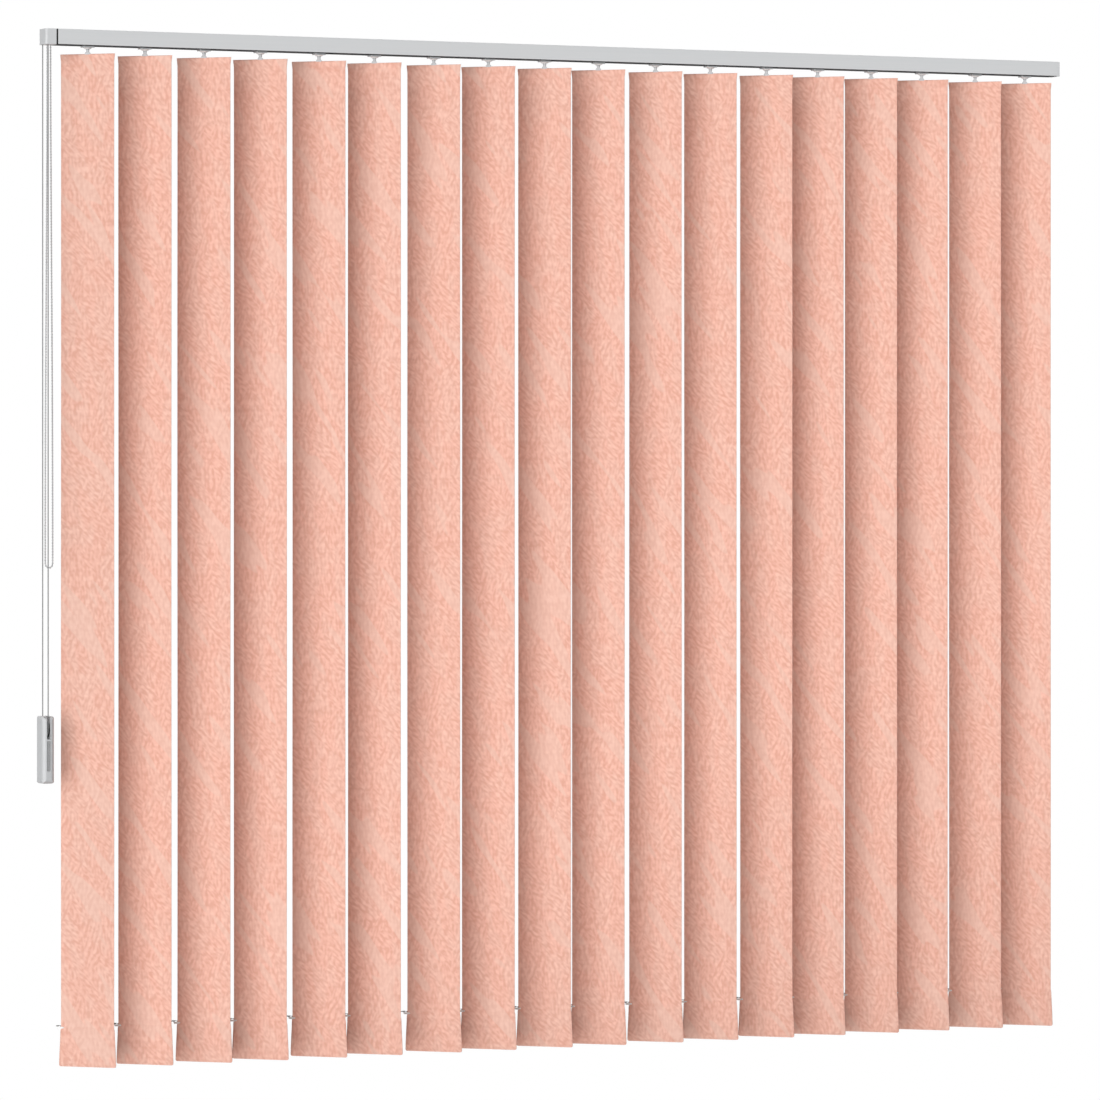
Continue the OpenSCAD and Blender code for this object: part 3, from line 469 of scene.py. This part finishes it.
# Rail cord: the stretch of the same cord that lies inside the rail, from the control end to the
# return pulley and back. Its braid is laid along the rail.
rail_yarn, rail_tree, rail_skin = braided_finish("rail_yarn", 800.0)
rail_where = put(rail_tree, "ShaderNodeTexCoord")
rail_axes = put(rail_tree, "ShaderNodeSeparateXYZ", None, {0: rail_where.outputs["Object"]})
rail_along = put(rail_tree, "ShaderNodeCombineXYZ", None,
                 {"X": rail_axes.outputs["Z"], "Y": rail_axes.outputs["X"]})
rail_tree.links.new(rail_along.outputs[0], rail_skin.inputs["Around And Along"])
dress(["rail_cord"], rail_yarn)

# Tilt chain: moulded beads on a fine thread, a closed loop over the wheel on the rod. It
# falls free at the rear and comes up at the front, turning a little on the way.
bead_plastic = moulded_finish(
    "bead_plastic", (0.58, 0.58, 0.585), (0.48, 0.48, 0.485),
    smooth=0.25, matt=0.36, scale=800.0, bump=0.03)[0]


def new_maker(name, inputs):
    maker = bpy.data.node_groups.new(name, "GeometryNodeTree")
    maker.interface.new_socket("Geometry", in_out="INPUT", socket_type="NodeSocketGeometry")
    for socket_name, kind in inputs:
        maker.interface.new_socket(socket_name, in_out="INPUT", socket_type=kind)
    maker.interface.new_socket("Geometry", in_out="OUTPUT", socket_type="NodeSocketGeometry")
    return maker, put(maker, "NodeGroupInput"), put(maker, "NodeGroupOutput")


def spots_along(maker, source):
    line = put(maker, "GeometryNodeMeshToCurve", None, {"Mesh": source.outputs["Geometry"]})
    return put(maker, "GeometryNodeResampleCurve", {"mode": "LENGTH"},
               {"Curve": line.outputs[0], "Length": source.outputs["Pitch"]}).outputs[0]


def half_of(maker, size):
    return put(maker, "ShaderNodeMath", {"operation": "MULTIPLY"}, {0: size, 1: 0.5}).outputs[0]


def end_maker(maker, parts, finish, last):
    joined = put(maker, "GeometryNodeJoinGeometry")
    for part in reversed(parts):
        maker.links.new(part, joined.inputs[0])
    real = put(maker, "GeometryNodeRealizeInstances", None, {0: joined.outputs[0]})
    smooth = put(maker, "GeometryNodeSetShadeSmooth", None, {"Geometry": real.outputs[0]})
    painted = put(maker, "GeometryNodeSetMaterial", None,
                  {"Geometry": smooth.outputs[0], "Material": finish})
    maker.links.new(painted.outputs[0], last.inputs[0])


def make_along(name, route, maker, values):
    line = bpy.data.meshes.new(name)
    line.from_pydata([tuple(p) for p in route], [(k, k + 1) for k in range(len(route) - 1)], [])
    host = bpy.data.objects.new(name + "_host", line)
    scene.collection.objects.link(host)
    step = host.modifiers.new("make", "NODES")
    step.node_group = maker
    for item in maker.interface.items_tree:
        if item.item_type == "SOCKET" and item.in_out == "INPUT" and item.name in values:
            step[item.identifier] = values[item.name]
    host_made = host.evaluated_get(bpy.context.evaluated_depsgraph_get())
    made = bpy.data.meshes.new_from_object(host_made)
    made.name = name
    bpy.data.objects.remove(host)
    bpy.data.meshes.remove(line)
    piece = bpy.data.objects.new(name, made)
    scene.collection.objects.link(piece)
    return piece


beads, beads_in, beads_out = new_maker(
    "bead_string", [("Bead Diameter", "NodeSocketFloat"), ("Pitch", "NodeSocketFloat"),
                    ("Thread Diameter", "NodeSocketFloat"), ("Finish", "NodeSocketMaterial")])
beads_spots = spots_along(beads, beads_in)
bead_ball = put(beads, "GeometryNodeMeshUVSphere", None,
                {"Segments": 10, "Rings": 6,
                 "Radius": half_of(beads, beads_in.outputs["Bead Diameter"])})
bead_row = put(beads, "GeometryNodeInstanceOnPoints", None,
               {"Points": beads_spots, "Instance": bead_ball.outputs["Mesh"]})
thread_ring = put(beads, "GeometryNodeCurvePrimitiveCircle", None,
                  {"Resolution": 5, "Radius": half_of(beads, beads_in.outputs["Thread Diameter"])})
thread = put(beads, "GeometryNodeCurveToMesh", None,
             {"Curve": beads_spots, "Profile Curve": thread_ring.outputs[0], "Fill Caps": True})
end_maker(beads, [bead_row.outputs[0], thread.outputs[0]], beads_in.outputs["Finish"], beads_out)

wheel_x, wheel_z, wheel_r = -0.8940, -0.0110, 0.0071620
chain_low, chain_turn = -0.838, math.radians(33)
bend_steps, over_steps = 16, 20


def chain_fall(side, down):
    turn = chain_turn * down * down * (3 - 2 * down)
    return (wheel_x - side * wheel_r * math.sin(turn), side * wheel_r * math.cos(turn),
            wheel_z + down * (chain_low + wheel_r - wheel_z))


bead_route = [chain_fall(1, k / fall_steps) for k in range(fall_steps)]
bead_route += [(wheel_x - wheel_r * math.cos(a) * math.sin(chain_turn),
                wheel_r * math.cos(a) * math.cos(chain_turn),
                chain_low + wheel_r - wheel_r * math.sin(a))
               for a in (math.pi * k / bend_steps for k in range(bend_steps))]
bead_route += [chain_fall(-1, k / fall_steps) for k in range(fall_steps, -1, -1)]
bead_sizes = {"Bead Diameter": 0.003, "Pitch": 0.0045, "Thread Diameter": 0.0020,
              "Finish": bead_plastic}
bead_loop = make_along("bead_loop", bead_route, beads, bead_sizes)
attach(bead_loop, "rail")
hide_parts("tilt_chain")
over_route = [(wheel_x, -wheel_r * math.cos(a), wheel_z + wheel_r * math.sin(a))
              for a in (math.pi * k / over_steps for k in range(2, over_steps - 1))]
bead_over = make_along("beads_over_wheel", over_route, beads, bead_sizes)
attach(bead_over, "rail")

# Cord weight: two moulded halves pressed together on a steel pin, with a pulley in the
# slot between them. Its front and its back have a shallow grip channel.
weight_moulding = moulded_finish(
    "weight_moulding", (0.66, 0.662, 0.668), (0.57, 0.573, 0.58),
    smooth=0.32, matt=0.46, scale=1000.0, bump=0.12)[0]
dress(["cord_weight_left", "cord_weight_right"], weight_moulding)

# Grip strips: grey soft rubber with stepped edges, moulded with a row of fine ribs and pressed
# into the channel on the front and the back of the weight.
grip_rubber = moulded_finish(
    "grip_rubber", (0.46, 0.46, 0.463), (0.36, 0.36, 0.363),
    smooth=0.6, matt=0.8, scale=1400.0, bump=0.15)[0]
ribs, ribs_in, ribs_out = new_maker(
    "rib_row", [("Pitch", "NodeSocketFloat"), ("Rib Length", "NodeSocketFloat"),
                ("Rib Diameter", "NodeSocketFloat"), ("Finish", "NodeSocketMaterial")])
rib_bar = put(ribs, "GeometryNodeMeshCylinder", None,
              {"Vertices": 8, "Radius": half_of(ribs, ribs_in.outputs["Rib Diameter"]),
               "Depth": ribs_in.outputs["Rib Length"]})
rib_row = put(ribs, "GeometryNodeInstanceOnPoints", None,
              {"Points": spots_along(ribs, ribs_in), "Instance": rib_bar.outputs["Mesh"],
               "Rotation": (0, math.pi / 2, 0)})
end_maker(ribs, [rib_row.outputs[0]], ribs_in.outputs["Finish"], ribs_out)


def stepped_block(shape, place, size, step):
    core = [side - 2 * step for side in size]
    block = bmesh.ops.create_cube(shape, size=1, matrix=place @ Matrix.Diagonal((*core, 1)))
    for side in list(dict.fromkeys(f for v in block["verts"] for f in v.link_faces)):
        side.normal_update()
        rise = side.normal * step
        raised = bmesh.ops.extrude_discrete_faces(shape, faces=[side])["faces"][0]
        bmesh.ops.translate(shape, verts=raised.verts, vec=rise)


grip_y, grip_z, rib_reach = 0.0138, -1.1298, 0.02041
grip_size, grip_step = (0.0056, 0.0014, 0.0464), 0.0003
rib_sizes = {"Pitch": 0.0024, "Rib Length": 0.0046, "Rib Diameter": 0.0008, "Finish": grip_rubber}
grip_shape = bmesh.new()
for grip_name, grip_way in (("front", -1), ("rear", 1)):
    grip_mid = Vector((cord_x, grip_way * grip_y, grip_z))
    stepped_block(grip_shape, Matrix.Translation(grip_mid), grip_size, grip_step)
    rib_y = grip_mid.y + grip_way * grip_size[1] / 2
    rib_route = [(cord_x, rib_y, grip_mid.z + side * rib_reach) for side in (-1, 1)]
    grip_ribs = make_along(f"{grip_name}_grip_ribs", rib_route, ribs, rib_sizes)
    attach(grip_ribs, "rail")
grip_strips = finished("grip_strips", grip_shape, grip_rubber)
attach(grip_strips, "rail")

# Hooks: the turning stem of each louvre, a clear-grey moulding whose two sprung jaws go down
# into the hem and close on the hanger inside it.
hook_plastic, hook_shader = moulded_finish(
    "hook_plastic", (0.60, 0.61, 0.62), (0.46, 0.47, 0.48),
    smooth=0.20, matt=0.34, scale=700.0, bump=0.05)
hook_shader.inputs["Subsurface Weight"].default_value = 0.08
hook_shader.inputs["Subsurface Radius"].default_value = (0.003, 0.003, 0.003)
louvre_names = [f"louvre_{i:02d}" for i in range(1, louvre_count + 1)]


def hook_of(number):
    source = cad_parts[louvre_names[number - 1]].data
    shape = bmesh.new()
    shape.from_mesh(source)
    bmesh.ops.remove_doubles(shape, verts=shape.verts, dist=1e-6)
    start = max(shape.verts, key=lambda v: v.co.z)
    kept, edge_of_kept = {start}, [start]
    while edge_of_kept:
        for edge in edge_of_kept.pop().link_edges:
            for other in edge.verts:
                if other not in kept:
                    kept.add(other)
                    edge_of_kept.append(other)
    bmesh.ops.delete(shape, geom=[v for v in shape.verts if v not in kept], context="VERTS")
    return finished(f"hook_{number:02d}", shape, hook_plastic)


# Chain clips: small white mouldings with stepped edges, pressed on the rear edge of each
# pocket. Each has an upright stud that a ring of the bottom chain drops over.
clip_plastic = moulded_finish(
    "clip_plastic", (0.90, 0.90, 0.89), (0.84, 0.84, 0.83),
    smooth=0.26, matt=0.38, scale=700.0, bump=0.05)[0]
louvre_angle = math.radians(42.8)
louvre_across = Vector((math.cos(louvre_angle), -math.sin(louvre_angle), 0))
louvre_out = Vector((-math.sin(louvre_angle), -math.cos(louvre_angle), 0))
rest_offset = (4.2, 0.9, 1.3, -1.9, -0.5, -3.6, 0.9, -1.9, -1.2,
               -3.9, 0.2, 1.3, 5.1, 1.1, 2.0, -1.6, 1.0, -2.8)
louvre_pitch, row_shift = 0.099, 0.0074
carrier_x = [(i - (louvre_count - 1) / 2) * louvre_pitch + offset / 1000 + row_shift
             for i, offset in enumerate(rest_offset)]
louvre_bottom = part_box("louvre_01")[0].z
chain_z = louvre_bottom + 0.063
clip_top, stud_mid = chain_z - 0.0014, chain_z - 0.0004
stud_u, clip_inner_u = -0.0507, -0.0395
clip_size, clip_step = (0.0112, 0.0036, 0.0030), 0.0008
stud_foot_r, stud_head_r, stud_high = 0.001, 0.0009, 0.0032


def in_louvre(number, across, out, up):
    spot = louvre_across * across + louvre_out * out
    return Vector((carrier_x[number - 1] + spot.x, spot.y, louvre_bottom + up))


def clip_of(number):
    shape = bmesh.new()
    stud, inner = in_louvre(number, stud_u, 0, 0), in_louvre(number, clip_inner_u, 0, 0)
    middle = (stud + inner) / 2
    middle.z = clip_top - clip_size[2] / 2
    turned = Matrix.Rotation(-louvre_angle, 4, "Z")
    stepped_block(shape, Matrix.Translation(middle) @ turned, clip_size, clip_step)
    stud.z = stud_mid
    bmesh.ops.create_cone(shape, cap_ends=True, segments=12, radius1=stud_foot_r,
                          radius2=stud_head_r, depth=stud_high, matrix=Matrix.Translation(stud))
    bmesh.ops.recalc_face_normals(shape, faces=shape.faces)
    return finished(f"clip_{number:02d}", shape, clip_plastic)


# Louvres: strips of woven jacquard, cut 89 mm wide and heat set, with a welded hem at the
# top and a pocket at the foot that holds a flat weight and spreads the cloth a little.
weave, weave_in, weave_out = new_effect(
    "jacquard_weave",
    [("Vector", "NodeSocketVector", None), ("Pale", "NodeSocketColor", (0.9, 0.7, 0.6, 1)),
     ("Deep", "NodeSocketColor", (0.8, 0.5, 0.4, 1)),
     ("Bloom", "NodeSocketColor", (1, 1, 1, 1))],
    skin_outputs)


def strokes(lean, wide, long, seed, fine=0.3):
    at = put(weave, "ShaderNodeMapping", {"vector_type": "TEXTURE"},
             {"Vector": weave_in.outputs["Vector"], "Location": (seed, 0.13 * seed, 0.0),
              "Rotation": (0, 0, math.radians(lean)), "Scale": (wide, long, 1.0)})
    return put(weave, "ShaderNodeTexNoise", {"noise_dimensions": "2D"},
               {"Vector": at.outputs[0], "Scale": 1.0, "Detail": fine,
                "Roughness": 0.5}).outputs["Fac"]


def crisp(value, low, high):
    return put(weave, "ShaderNodeMapRange", {"interpolation_type": "SMOOTHSTEP"},
               {"Value": value, "From Min": low, "From Max": high}).outputs[0]


def blend_values(share, first, second):
    return put(weave, "ShaderNodeMix", {"data_type": "FLOAT"},
               {0: share, 2: first, 3: second}).outputs[0]


wander = put(weave, "ShaderNodeTexNoise", {"noise_dimensions": "2D"},
             {"Vector": weave_in.outputs["Vector"], "Scale": 75.0, "Detail": 1.0})
wander_by = put(weave, "ShaderNodeVectorMath", {"operation": "SUBTRACT"},
                {0: wander.outputs["Color"], 1: (0.5, 0.5, 0.5)})
wandered = put(weave, "ShaderNodeVectorMath", {"operation": "MULTIPLY_ADD"},
               {0: wander_by.outputs[0], 1: (0.010, 0.010, 0), 2: weave_in.outputs["Vector"]})
motif_repeats = ((526, 482, 0), (0, -749, 0), (526, -267, 0))
motif = 0.0
for repeat in motif_repeats:
    phase = put(weave, "ShaderNodeVectorMath", {"operation": "DOT_PRODUCT"},
                {0: wandered.outputs[0], 1: repeat})
    ripple = put(weave, "ShaderNodeMath", {"operation": "COSINE"}, {0: phase.outputs["Value"]})
    motif = put(weave, "ShaderNodeMath", {"operation": "ADD"},
                {0: ripple.outputs[0], 1: motif}).outputs[0]
motif_high = crisp(motif, -1.2, 2.0)
stroke_low, stroke_full = 0.26, 0.74
upright = crisp(strokes(lean=5, wide=0.0046, long=0.0125, seed=3.1), stroke_low, stroke_full)
leaning = crisp(strokes(lean=48, wide=0.0040, long=0.0105, seed=5.7), stroke_low, stroke_full)
counter = crisp(strokes(lean=-16, wide=0.0046, long=0.0120, seed=9.3), stroke_low, stroke_full)
moire = strokes(lean=36, wide=0.030, long=0.170, seed=1.7, fine=1.0)
first_share = crisp(moire, 0.49, 0.58)
second_share = crisp(strokes(lean=-20, wide=0.026, long=0.070, seed=7.9, fine=1.0), 0.57, 0.65)
stroke_mix = blend_values(second_share, blend_values(first_share, upright, leaning), counter)
figure = blend_values(0.30, stroke_mix, motif_high)
patch = crisp(strokes(lean=12, wide=0.026, long=0.060, seed=4.4, fine=1.0), 0.42, 0.62)
half_patch = put(weave, "ShaderNodeMath", {"operation": "MULTIPLY"}, {0: patch, 1: 0.45})
streak = crisp(moire, 0.385, 0.355)
cloud = put(weave, "ShaderNodeMath", {"operation": "MAXIMUM"},
            {0: half_patch.outputs[0], 1: streak}).outputs[0]
calm = put(weave, "ShaderNodeMath", {"operation": "MULTIPLY"}, {0: streak, 1: 0.48})
pale_more = put(weave, "ShaderNodeMath", {"operation": "MULTIPLY_ADD", "use_clamp": True},
                {0: blend_values(calm.outputs[0], figure, 0.56), 1: 0.88, 2: 0.05})
threads = put(weave, "ShaderNodeTexWave", {"wave_type": "BANDS", "bands_direction": "Y"},
              {"Vector": weave_in.outputs["Vector"], "Scale": 320.0, "Distortion": 0.6,
               "Detail": 1.0})
weave_tint = put(weave, "ShaderNodeMix", {"data_type": "RGBA"},
                 {"Factor": pale_more.outputs[0], 6: weave_in.outputs["Deep"],
                  7: weave_in.outputs["Pale"]})
weave_gloss = put(weave, "ShaderNodeMapRange", None,
                  {"Value": pale_more.outputs[0], "To Min": 0.86, "To Max": 0.66})
weave_high = put(weave, "ShaderNodeMath", {"operation": "MULTIPLY_ADD"},
                 {0: threads.outputs["Fac"], 1: 0.35, 2: figure})
weave_bloom = put(weave, "ShaderNodeMix", {"data_type": "RGBA", "blend_type": "MULTIPLY"},
                  {"Factor": cloud, 6: weave_tint.outputs[2], 7: weave_in.outputs["Bloom"]})
weave.links.new(weave_bloom.outputs[2], weave_out.inputs["Colour"])
weave.links.new(weave_gloss.outputs[0], weave_out.inputs["Roughness"])
weave.links.new(weave_high.outputs[0], weave_out.inputs["Height"])

louvre_cloth, cloth_shader = new_finish("louvre_cloth", (0.87, 0.51, 0.42), roughness=0.8)
cloth_shader.inputs["Sheen Weight"].default_value = 0.08
cloth_shader.inputs["Sheen Roughness"].default_value = 0.5
cloth_shader.inputs["Specular IOR Level"].default_value = 0.25
cloth_tree = louvre_cloth.node_tree
cloth_where = put(cloth_tree, "ShaderNodeTexCoord")
cloth_turned = put(cloth_tree, "ShaderNodeMapping", None,
                   {"Vector": cloth_where.outputs["Object"], "Rotation": (0, 0, louvre_angle)})
cloth_axes = put(cloth_tree, "ShaderNodeSeparateXYZ", None, {0: cloth_turned.outputs[0]})
cloth_flat = put(cloth_tree, "ShaderNodeCombineXYZ", None,
                 {"X": cloth_axes.outputs["X"], "Y": cloth_axes.outputs["Z"]})
cloth_skin = put(cloth_tree, "ShaderNodeGroup", {"node_tree": weave},
                 {"Vector": cloth_flat.outputs[0], "Pale": (0.944, 0.562, 0.453, 1),
                  "Deep": (0.790, 0.405, 0.310, 1), "Bloom": (0.994, 1.098, 1.128, 1)})
lay_skin(cloth_tree, cloth_shader, cloth_skin, bump=0.25, depth=0.0004)

louvre_drop, louvre_half, corner_round = 1.580, 0.0445, 0.0028
cloth_half, hem_half, jaw_half, pocket_half = 0.0003, 0.0010, 0.00155, 0.0013
hem_high, pocket_high, pocket_spread, hem_spread = 0.014, 0.062, 0.0032, 0.0012
pocket_lip, lip_run, edge_run = 0.0010, 0.006, 0.0030
pocket_top_run, pocket_foot_run, hem_foot_run, hem_top_run = 0.0035, 0.0040, 0.0030, 0.0014
jaw_run, jaw_reach = 0.0072, 1.9
bow_high, bow_turn, still_foot, still_head = 0.0004, 2.3, 0.15, 0.05
ripple_high, ripple_turn, ripple_step = 0.00035, 5.1, 1.9
plain_foot, plain_head, plain_rows, plain_columns, plain_share = 0.10, 0.05, 44, 14, 0.85


def ease(share):
    share = min(max(share, 0.0), 1.0)
    return share * share * (3 - 2 * share)


def half_width(up):
    corner = max(0.0, corner_round - up)
    return (louvre_half + pocket_lip * ease((pocket_high - up) / lip_run)
            + (pocket_spread - pocket_lip) * ease(1 - up / pocket_high)
            + hem_spread * ease((up - louvre_drop + hem_high) / hem_high)
            - corner_round + math.sqrt(corner_round ** 2 - corner ** 2))


def half_thick(share, up):
    edge = ease((1 - abs(share)) * louvre_half / edge_run)
    pocket = ease((pocket_high - up) / pocket_top_run) * ease(up / pocket_foot_run)
    hem = (ease((up - louvre_drop + hem_high) / hem_foot_run)
           * ease((louvre_drop - up) / hem_top_run))
    jaw_share = ease(jaw_reach - abs(share) * louvre_half / jaw_run)
    hem_swell = hem_half + (jaw_half - hem_half) * jaw_share
    return cloth_half + edge * ((pocket_half - cloth_half) * pocket
                                + (hem_swell - cloth_half) * hem)


def louvre_of(number):
    shape = bmesh.new()
    shares = [-1, -0.985, -0.96, -0.93]
    shares += [-plain_share + 2 * plain_share * k / plain_columns
               for k in range(plain_columns + 1)]
    shares += [0.93, 0.96, 0.985, 1]
    ups = [0, 0.0003, 0.0008, 0.0016, 0.0028, 0.004, 0.010, 0.018, 0.026, 0.034, 0.042, 0.050,
           0.056, 0.0585, 0.060, 0.061, 0.062, 0.0632, 0.066, 0.072]
    ups += [plain_foot + (louvre_drop - plain_foot - plain_head) * k / plain_rows
            for k in range(plain_rows + 1)]
    ups += [louvre_drop - d for d in (0.030, 0.020, 0.016, 0.014, 0.0128, 0.0115, 0.010, 0.007,
                                      0.004, 0.002, 0.001, 0)]
    bow = bow_high * math.sin(bow_turn * number)
    sides = []
    for face_way in (1, -1):
        grid = []
        for up in ups:
            free = ease(up / still_foot) * ease((louvre_drop - up) / still_head)
            ripple_at = math.sin(up * ripple_turn + ripple_step * number)
            row = []
            for share in shares:
                wave = free * (bow * (1 - share * share) + ripple_high * ripple_at * share)
                row.append(shape.verts.new(in_louvre(
                    number, share * half_width(up), wave + face_way * half_thick(share, up), up)))
            grid.append(row)
        sides.append(grid)
    for face_way, grid in zip((1, -1), sides):
        for a, b in zip(grid, grid[1:]):
            for k in range(len(shares) - 1):
                corners = (a[k], a[k + 1], b[k + 1], b[k])
                shape.faces.new(corners if face_way == 1 else corners[::-1]).smooth = True
    front, rear = sides
    rim = ([(front[0][k], rear[0][k]) for k in range(len(shares))]
           + [(front[r][-1], rear[r][-1]) for r in range(1, len(ups))]
           + [(front[-1][k], rear[-1][k]) for k in range(len(shares) - 2, -1, -1)]
           + [(front[r][0], rear[r][0]) for r in range(len(ups) - 2, 0, -1)])
    for (fa, ra), (fb, rb) in zip(rim, rim[1:] + rim[:1]):
        shape.faces.new((ra, rb, fb, fa))
    bmesh.ops.recalc_face_normals(shape, faces=shape.faces)
    return finished(f"strip_{number:02d}", shape, louvre_cloth)


for number in range(1, louvre_count + 1):
    body = f"slat_{number:02d}"
    hook = hook_of(number)
    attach(hook, body)
    clip = clip_of(number)
    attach(clip, body)
    strip = louvre_of(number)
    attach(strip, body)
    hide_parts(louvre_names[number - 1])

# Bottom chain: fine black moulded links between the louvres' rear corners, which keep the louvres
# in step. A ring drops over the stud of each clip, and the links hang a little slack between.
link_plastic, link_shader = new_finish("link_plastic", (0.020, 0.020, 0.021), roughness=0.5)
link_shader.inputs["Specular IOR Level"].default_value = 0.12
link_tree = link_plastic.node_tree
link_where = put(link_tree, "ShaderNodeTexCoord")
link_marks = put(link_tree, "ShaderNodeTexNoise", None,
                 {"Vector": link_where.outputs["Object"], "Scale": 700.0, "Detail": 2.0})
link_tint = put(link_tree, "ShaderNodeMix", {"data_type": "RGBA"},
                {"Factor": link_marks.outputs["Fac"], 6: (0.012, 0.012, 0.013, 1),
                 7: (0.032, 0.032, 0.033, 1)})
link_tree.links.new(link_tint.outputs[2], link_shader.inputs["Base Color"])
link_gloss = put(link_tree, "ShaderNodeMapRange", None,
                 {"Value": link_marks.outputs["Fac"], "To Min": 0.40, "To Max": 0.62})
link_tree.links.new(link_gloss.outputs[0], link_shader.inputs["Roughness"])

links, links_in, links_out = new_maker(
    "wire_links", [("Pitch", "NodeSocketFloat"), ("Link Length", "NodeSocketFloat"),
                   ("Link Width", "NodeSocketFloat"), ("Wire Diameter", "NodeSocketFloat"),
                   ("Finish", "NodeSocketMaterial")])
wire_round = put(links, "GeometryNodeCurvePrimitiveCircle", None,
                 {"Resolution": 5, "Radius": half_of(links, links_in.outputs["Wire Diameter"])})
link_circle = put(links, "GeometryNodeCurvePrimitiveCircle", None,
                  {"Resolution": 8, "Radius": 0.5})
link_size = put(links, "ShaderNodeCombineXYZ", None,
                {"X": links_in.outputs["Link Length"], "Y": links_in.outputs["Link Width"],
                 "Z": 1.0})
link_oval = put(links, "GeometryNodeTransform", None,
                {"Geometry": link_circle.outputs[0], "Scale": link_size.outputs[0]})
link_body = put(links, "GeometryNodeCurveToMesh", None,
                {"Curve": link_oval.outputs[0], "Profile Curve": wire_round.outputs[0]})
link_ahead = put(links, "GeometryNodeInputTangent")
link_way = put(links, "FunctionNodeAlignRotationToVector", {"axis": "X"},
               {"Vector": link_ahead.outputs[0]})
link_index = put(links, "GeometryNodeInputIndex")
link_quarter = put(links, "ShaderNodeMath", {"operation": "MULTIPLY"},
                   {0: link_index.outputs[0], 1: math.pi / 2})
link_roll = put(links, "ShaderNodeCombineXYZ", None, {"X": link_quarter.outputs[0]})
link_euler = put(links, "FunctionNodeEulerToRotation", None, {0: link_roll.outputs[0]})
link_turn = put(links, "FunctionNodeRotateRotation", {"rotation_space": "LOCAL"},
                {0: link_way.outputs[0], 1: link_euler.outputs[0]})
link_row = put(links, "GeometryNodeInstanceOnPoints", None,
               {"Points": spots_along(links, links_in), "Instance": link_body.outputs[0],
                "Rotation": link_turn.outputs[0]})
end_maker(links, [link_row.outputs[0]], links_in.outputs["Finish"], links_out)

ring_radius, ring_wire, ring_turns, ring_sides = 0.0018, 0.0006, 14, 6


def ring_of(number):
    stud = in_louvre(number, stud_u, 0, 0)
    shape = bmesh.new()
    rounds = []
    for k in range(ring_turns):
        turn = math.tau * k / ring_turns
        rounds.append([])
        for j in range(ring_sides):
            lean = math.tau * j / ring_sides
            reach = ring_radius + ring_wire * math.cos(lean)
            rounds[-1].append(shape.verts.new((stud.x + math.cos(turn) * reach,
                                               stud.y + math.sin(turn) * reach,
                                               chain_z + ring_wire * math.sin(lean))))
    for first, second in zip(rounds, rounds[1:] + rounds[:1]):
        for j in range(ring_sides):
            shape.faces.new((first[j], second[j], second[j - 1], first[j - 1])).smooth = True
    bmesh.ops.recalc_face_normals(shape, faces=shape.faces)
    return finished(f"chain_ring_{number:02d}", shape, link_plastic)


for number in range(1, louvre_count + 1):
    ring = ring_of(number)
    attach(ring, f"slat_{number:02d}")

stud_spots = [in_louvre(number, stud_u, 0, 0) for number in range(1, louvre_count + 1)]
span_start, span_gathered, span_steps, chain_sag, gather = 0.0039, 0.0028, 12, 0.005, 0.205
link_sizes = {"Pitch": 0.0040, "Link Length": 0.0052, "Link Width": 0.0020,
              "Wire Diameter": 0.0008, "Finish": link_plastic}
for number, (a, b) in enumerate(zip(stud_spots, stud_spots[1:]), 1):
    near, far = a.x + span_start, b.x - span_start
    span_route = []
    for k in range(span_steps + 1):
        share = k / span_steps
        sag = chain_sag * 4 * share * (1 - share)
        span_route.append((near + (far - near) * share, a.y, chain_z - sag))
    span = make_along(f"chain_span_{number:02d}", span_route, links, link_sizes)
    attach(span, "link_chain")
    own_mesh(span)
    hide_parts("bottom_chain")
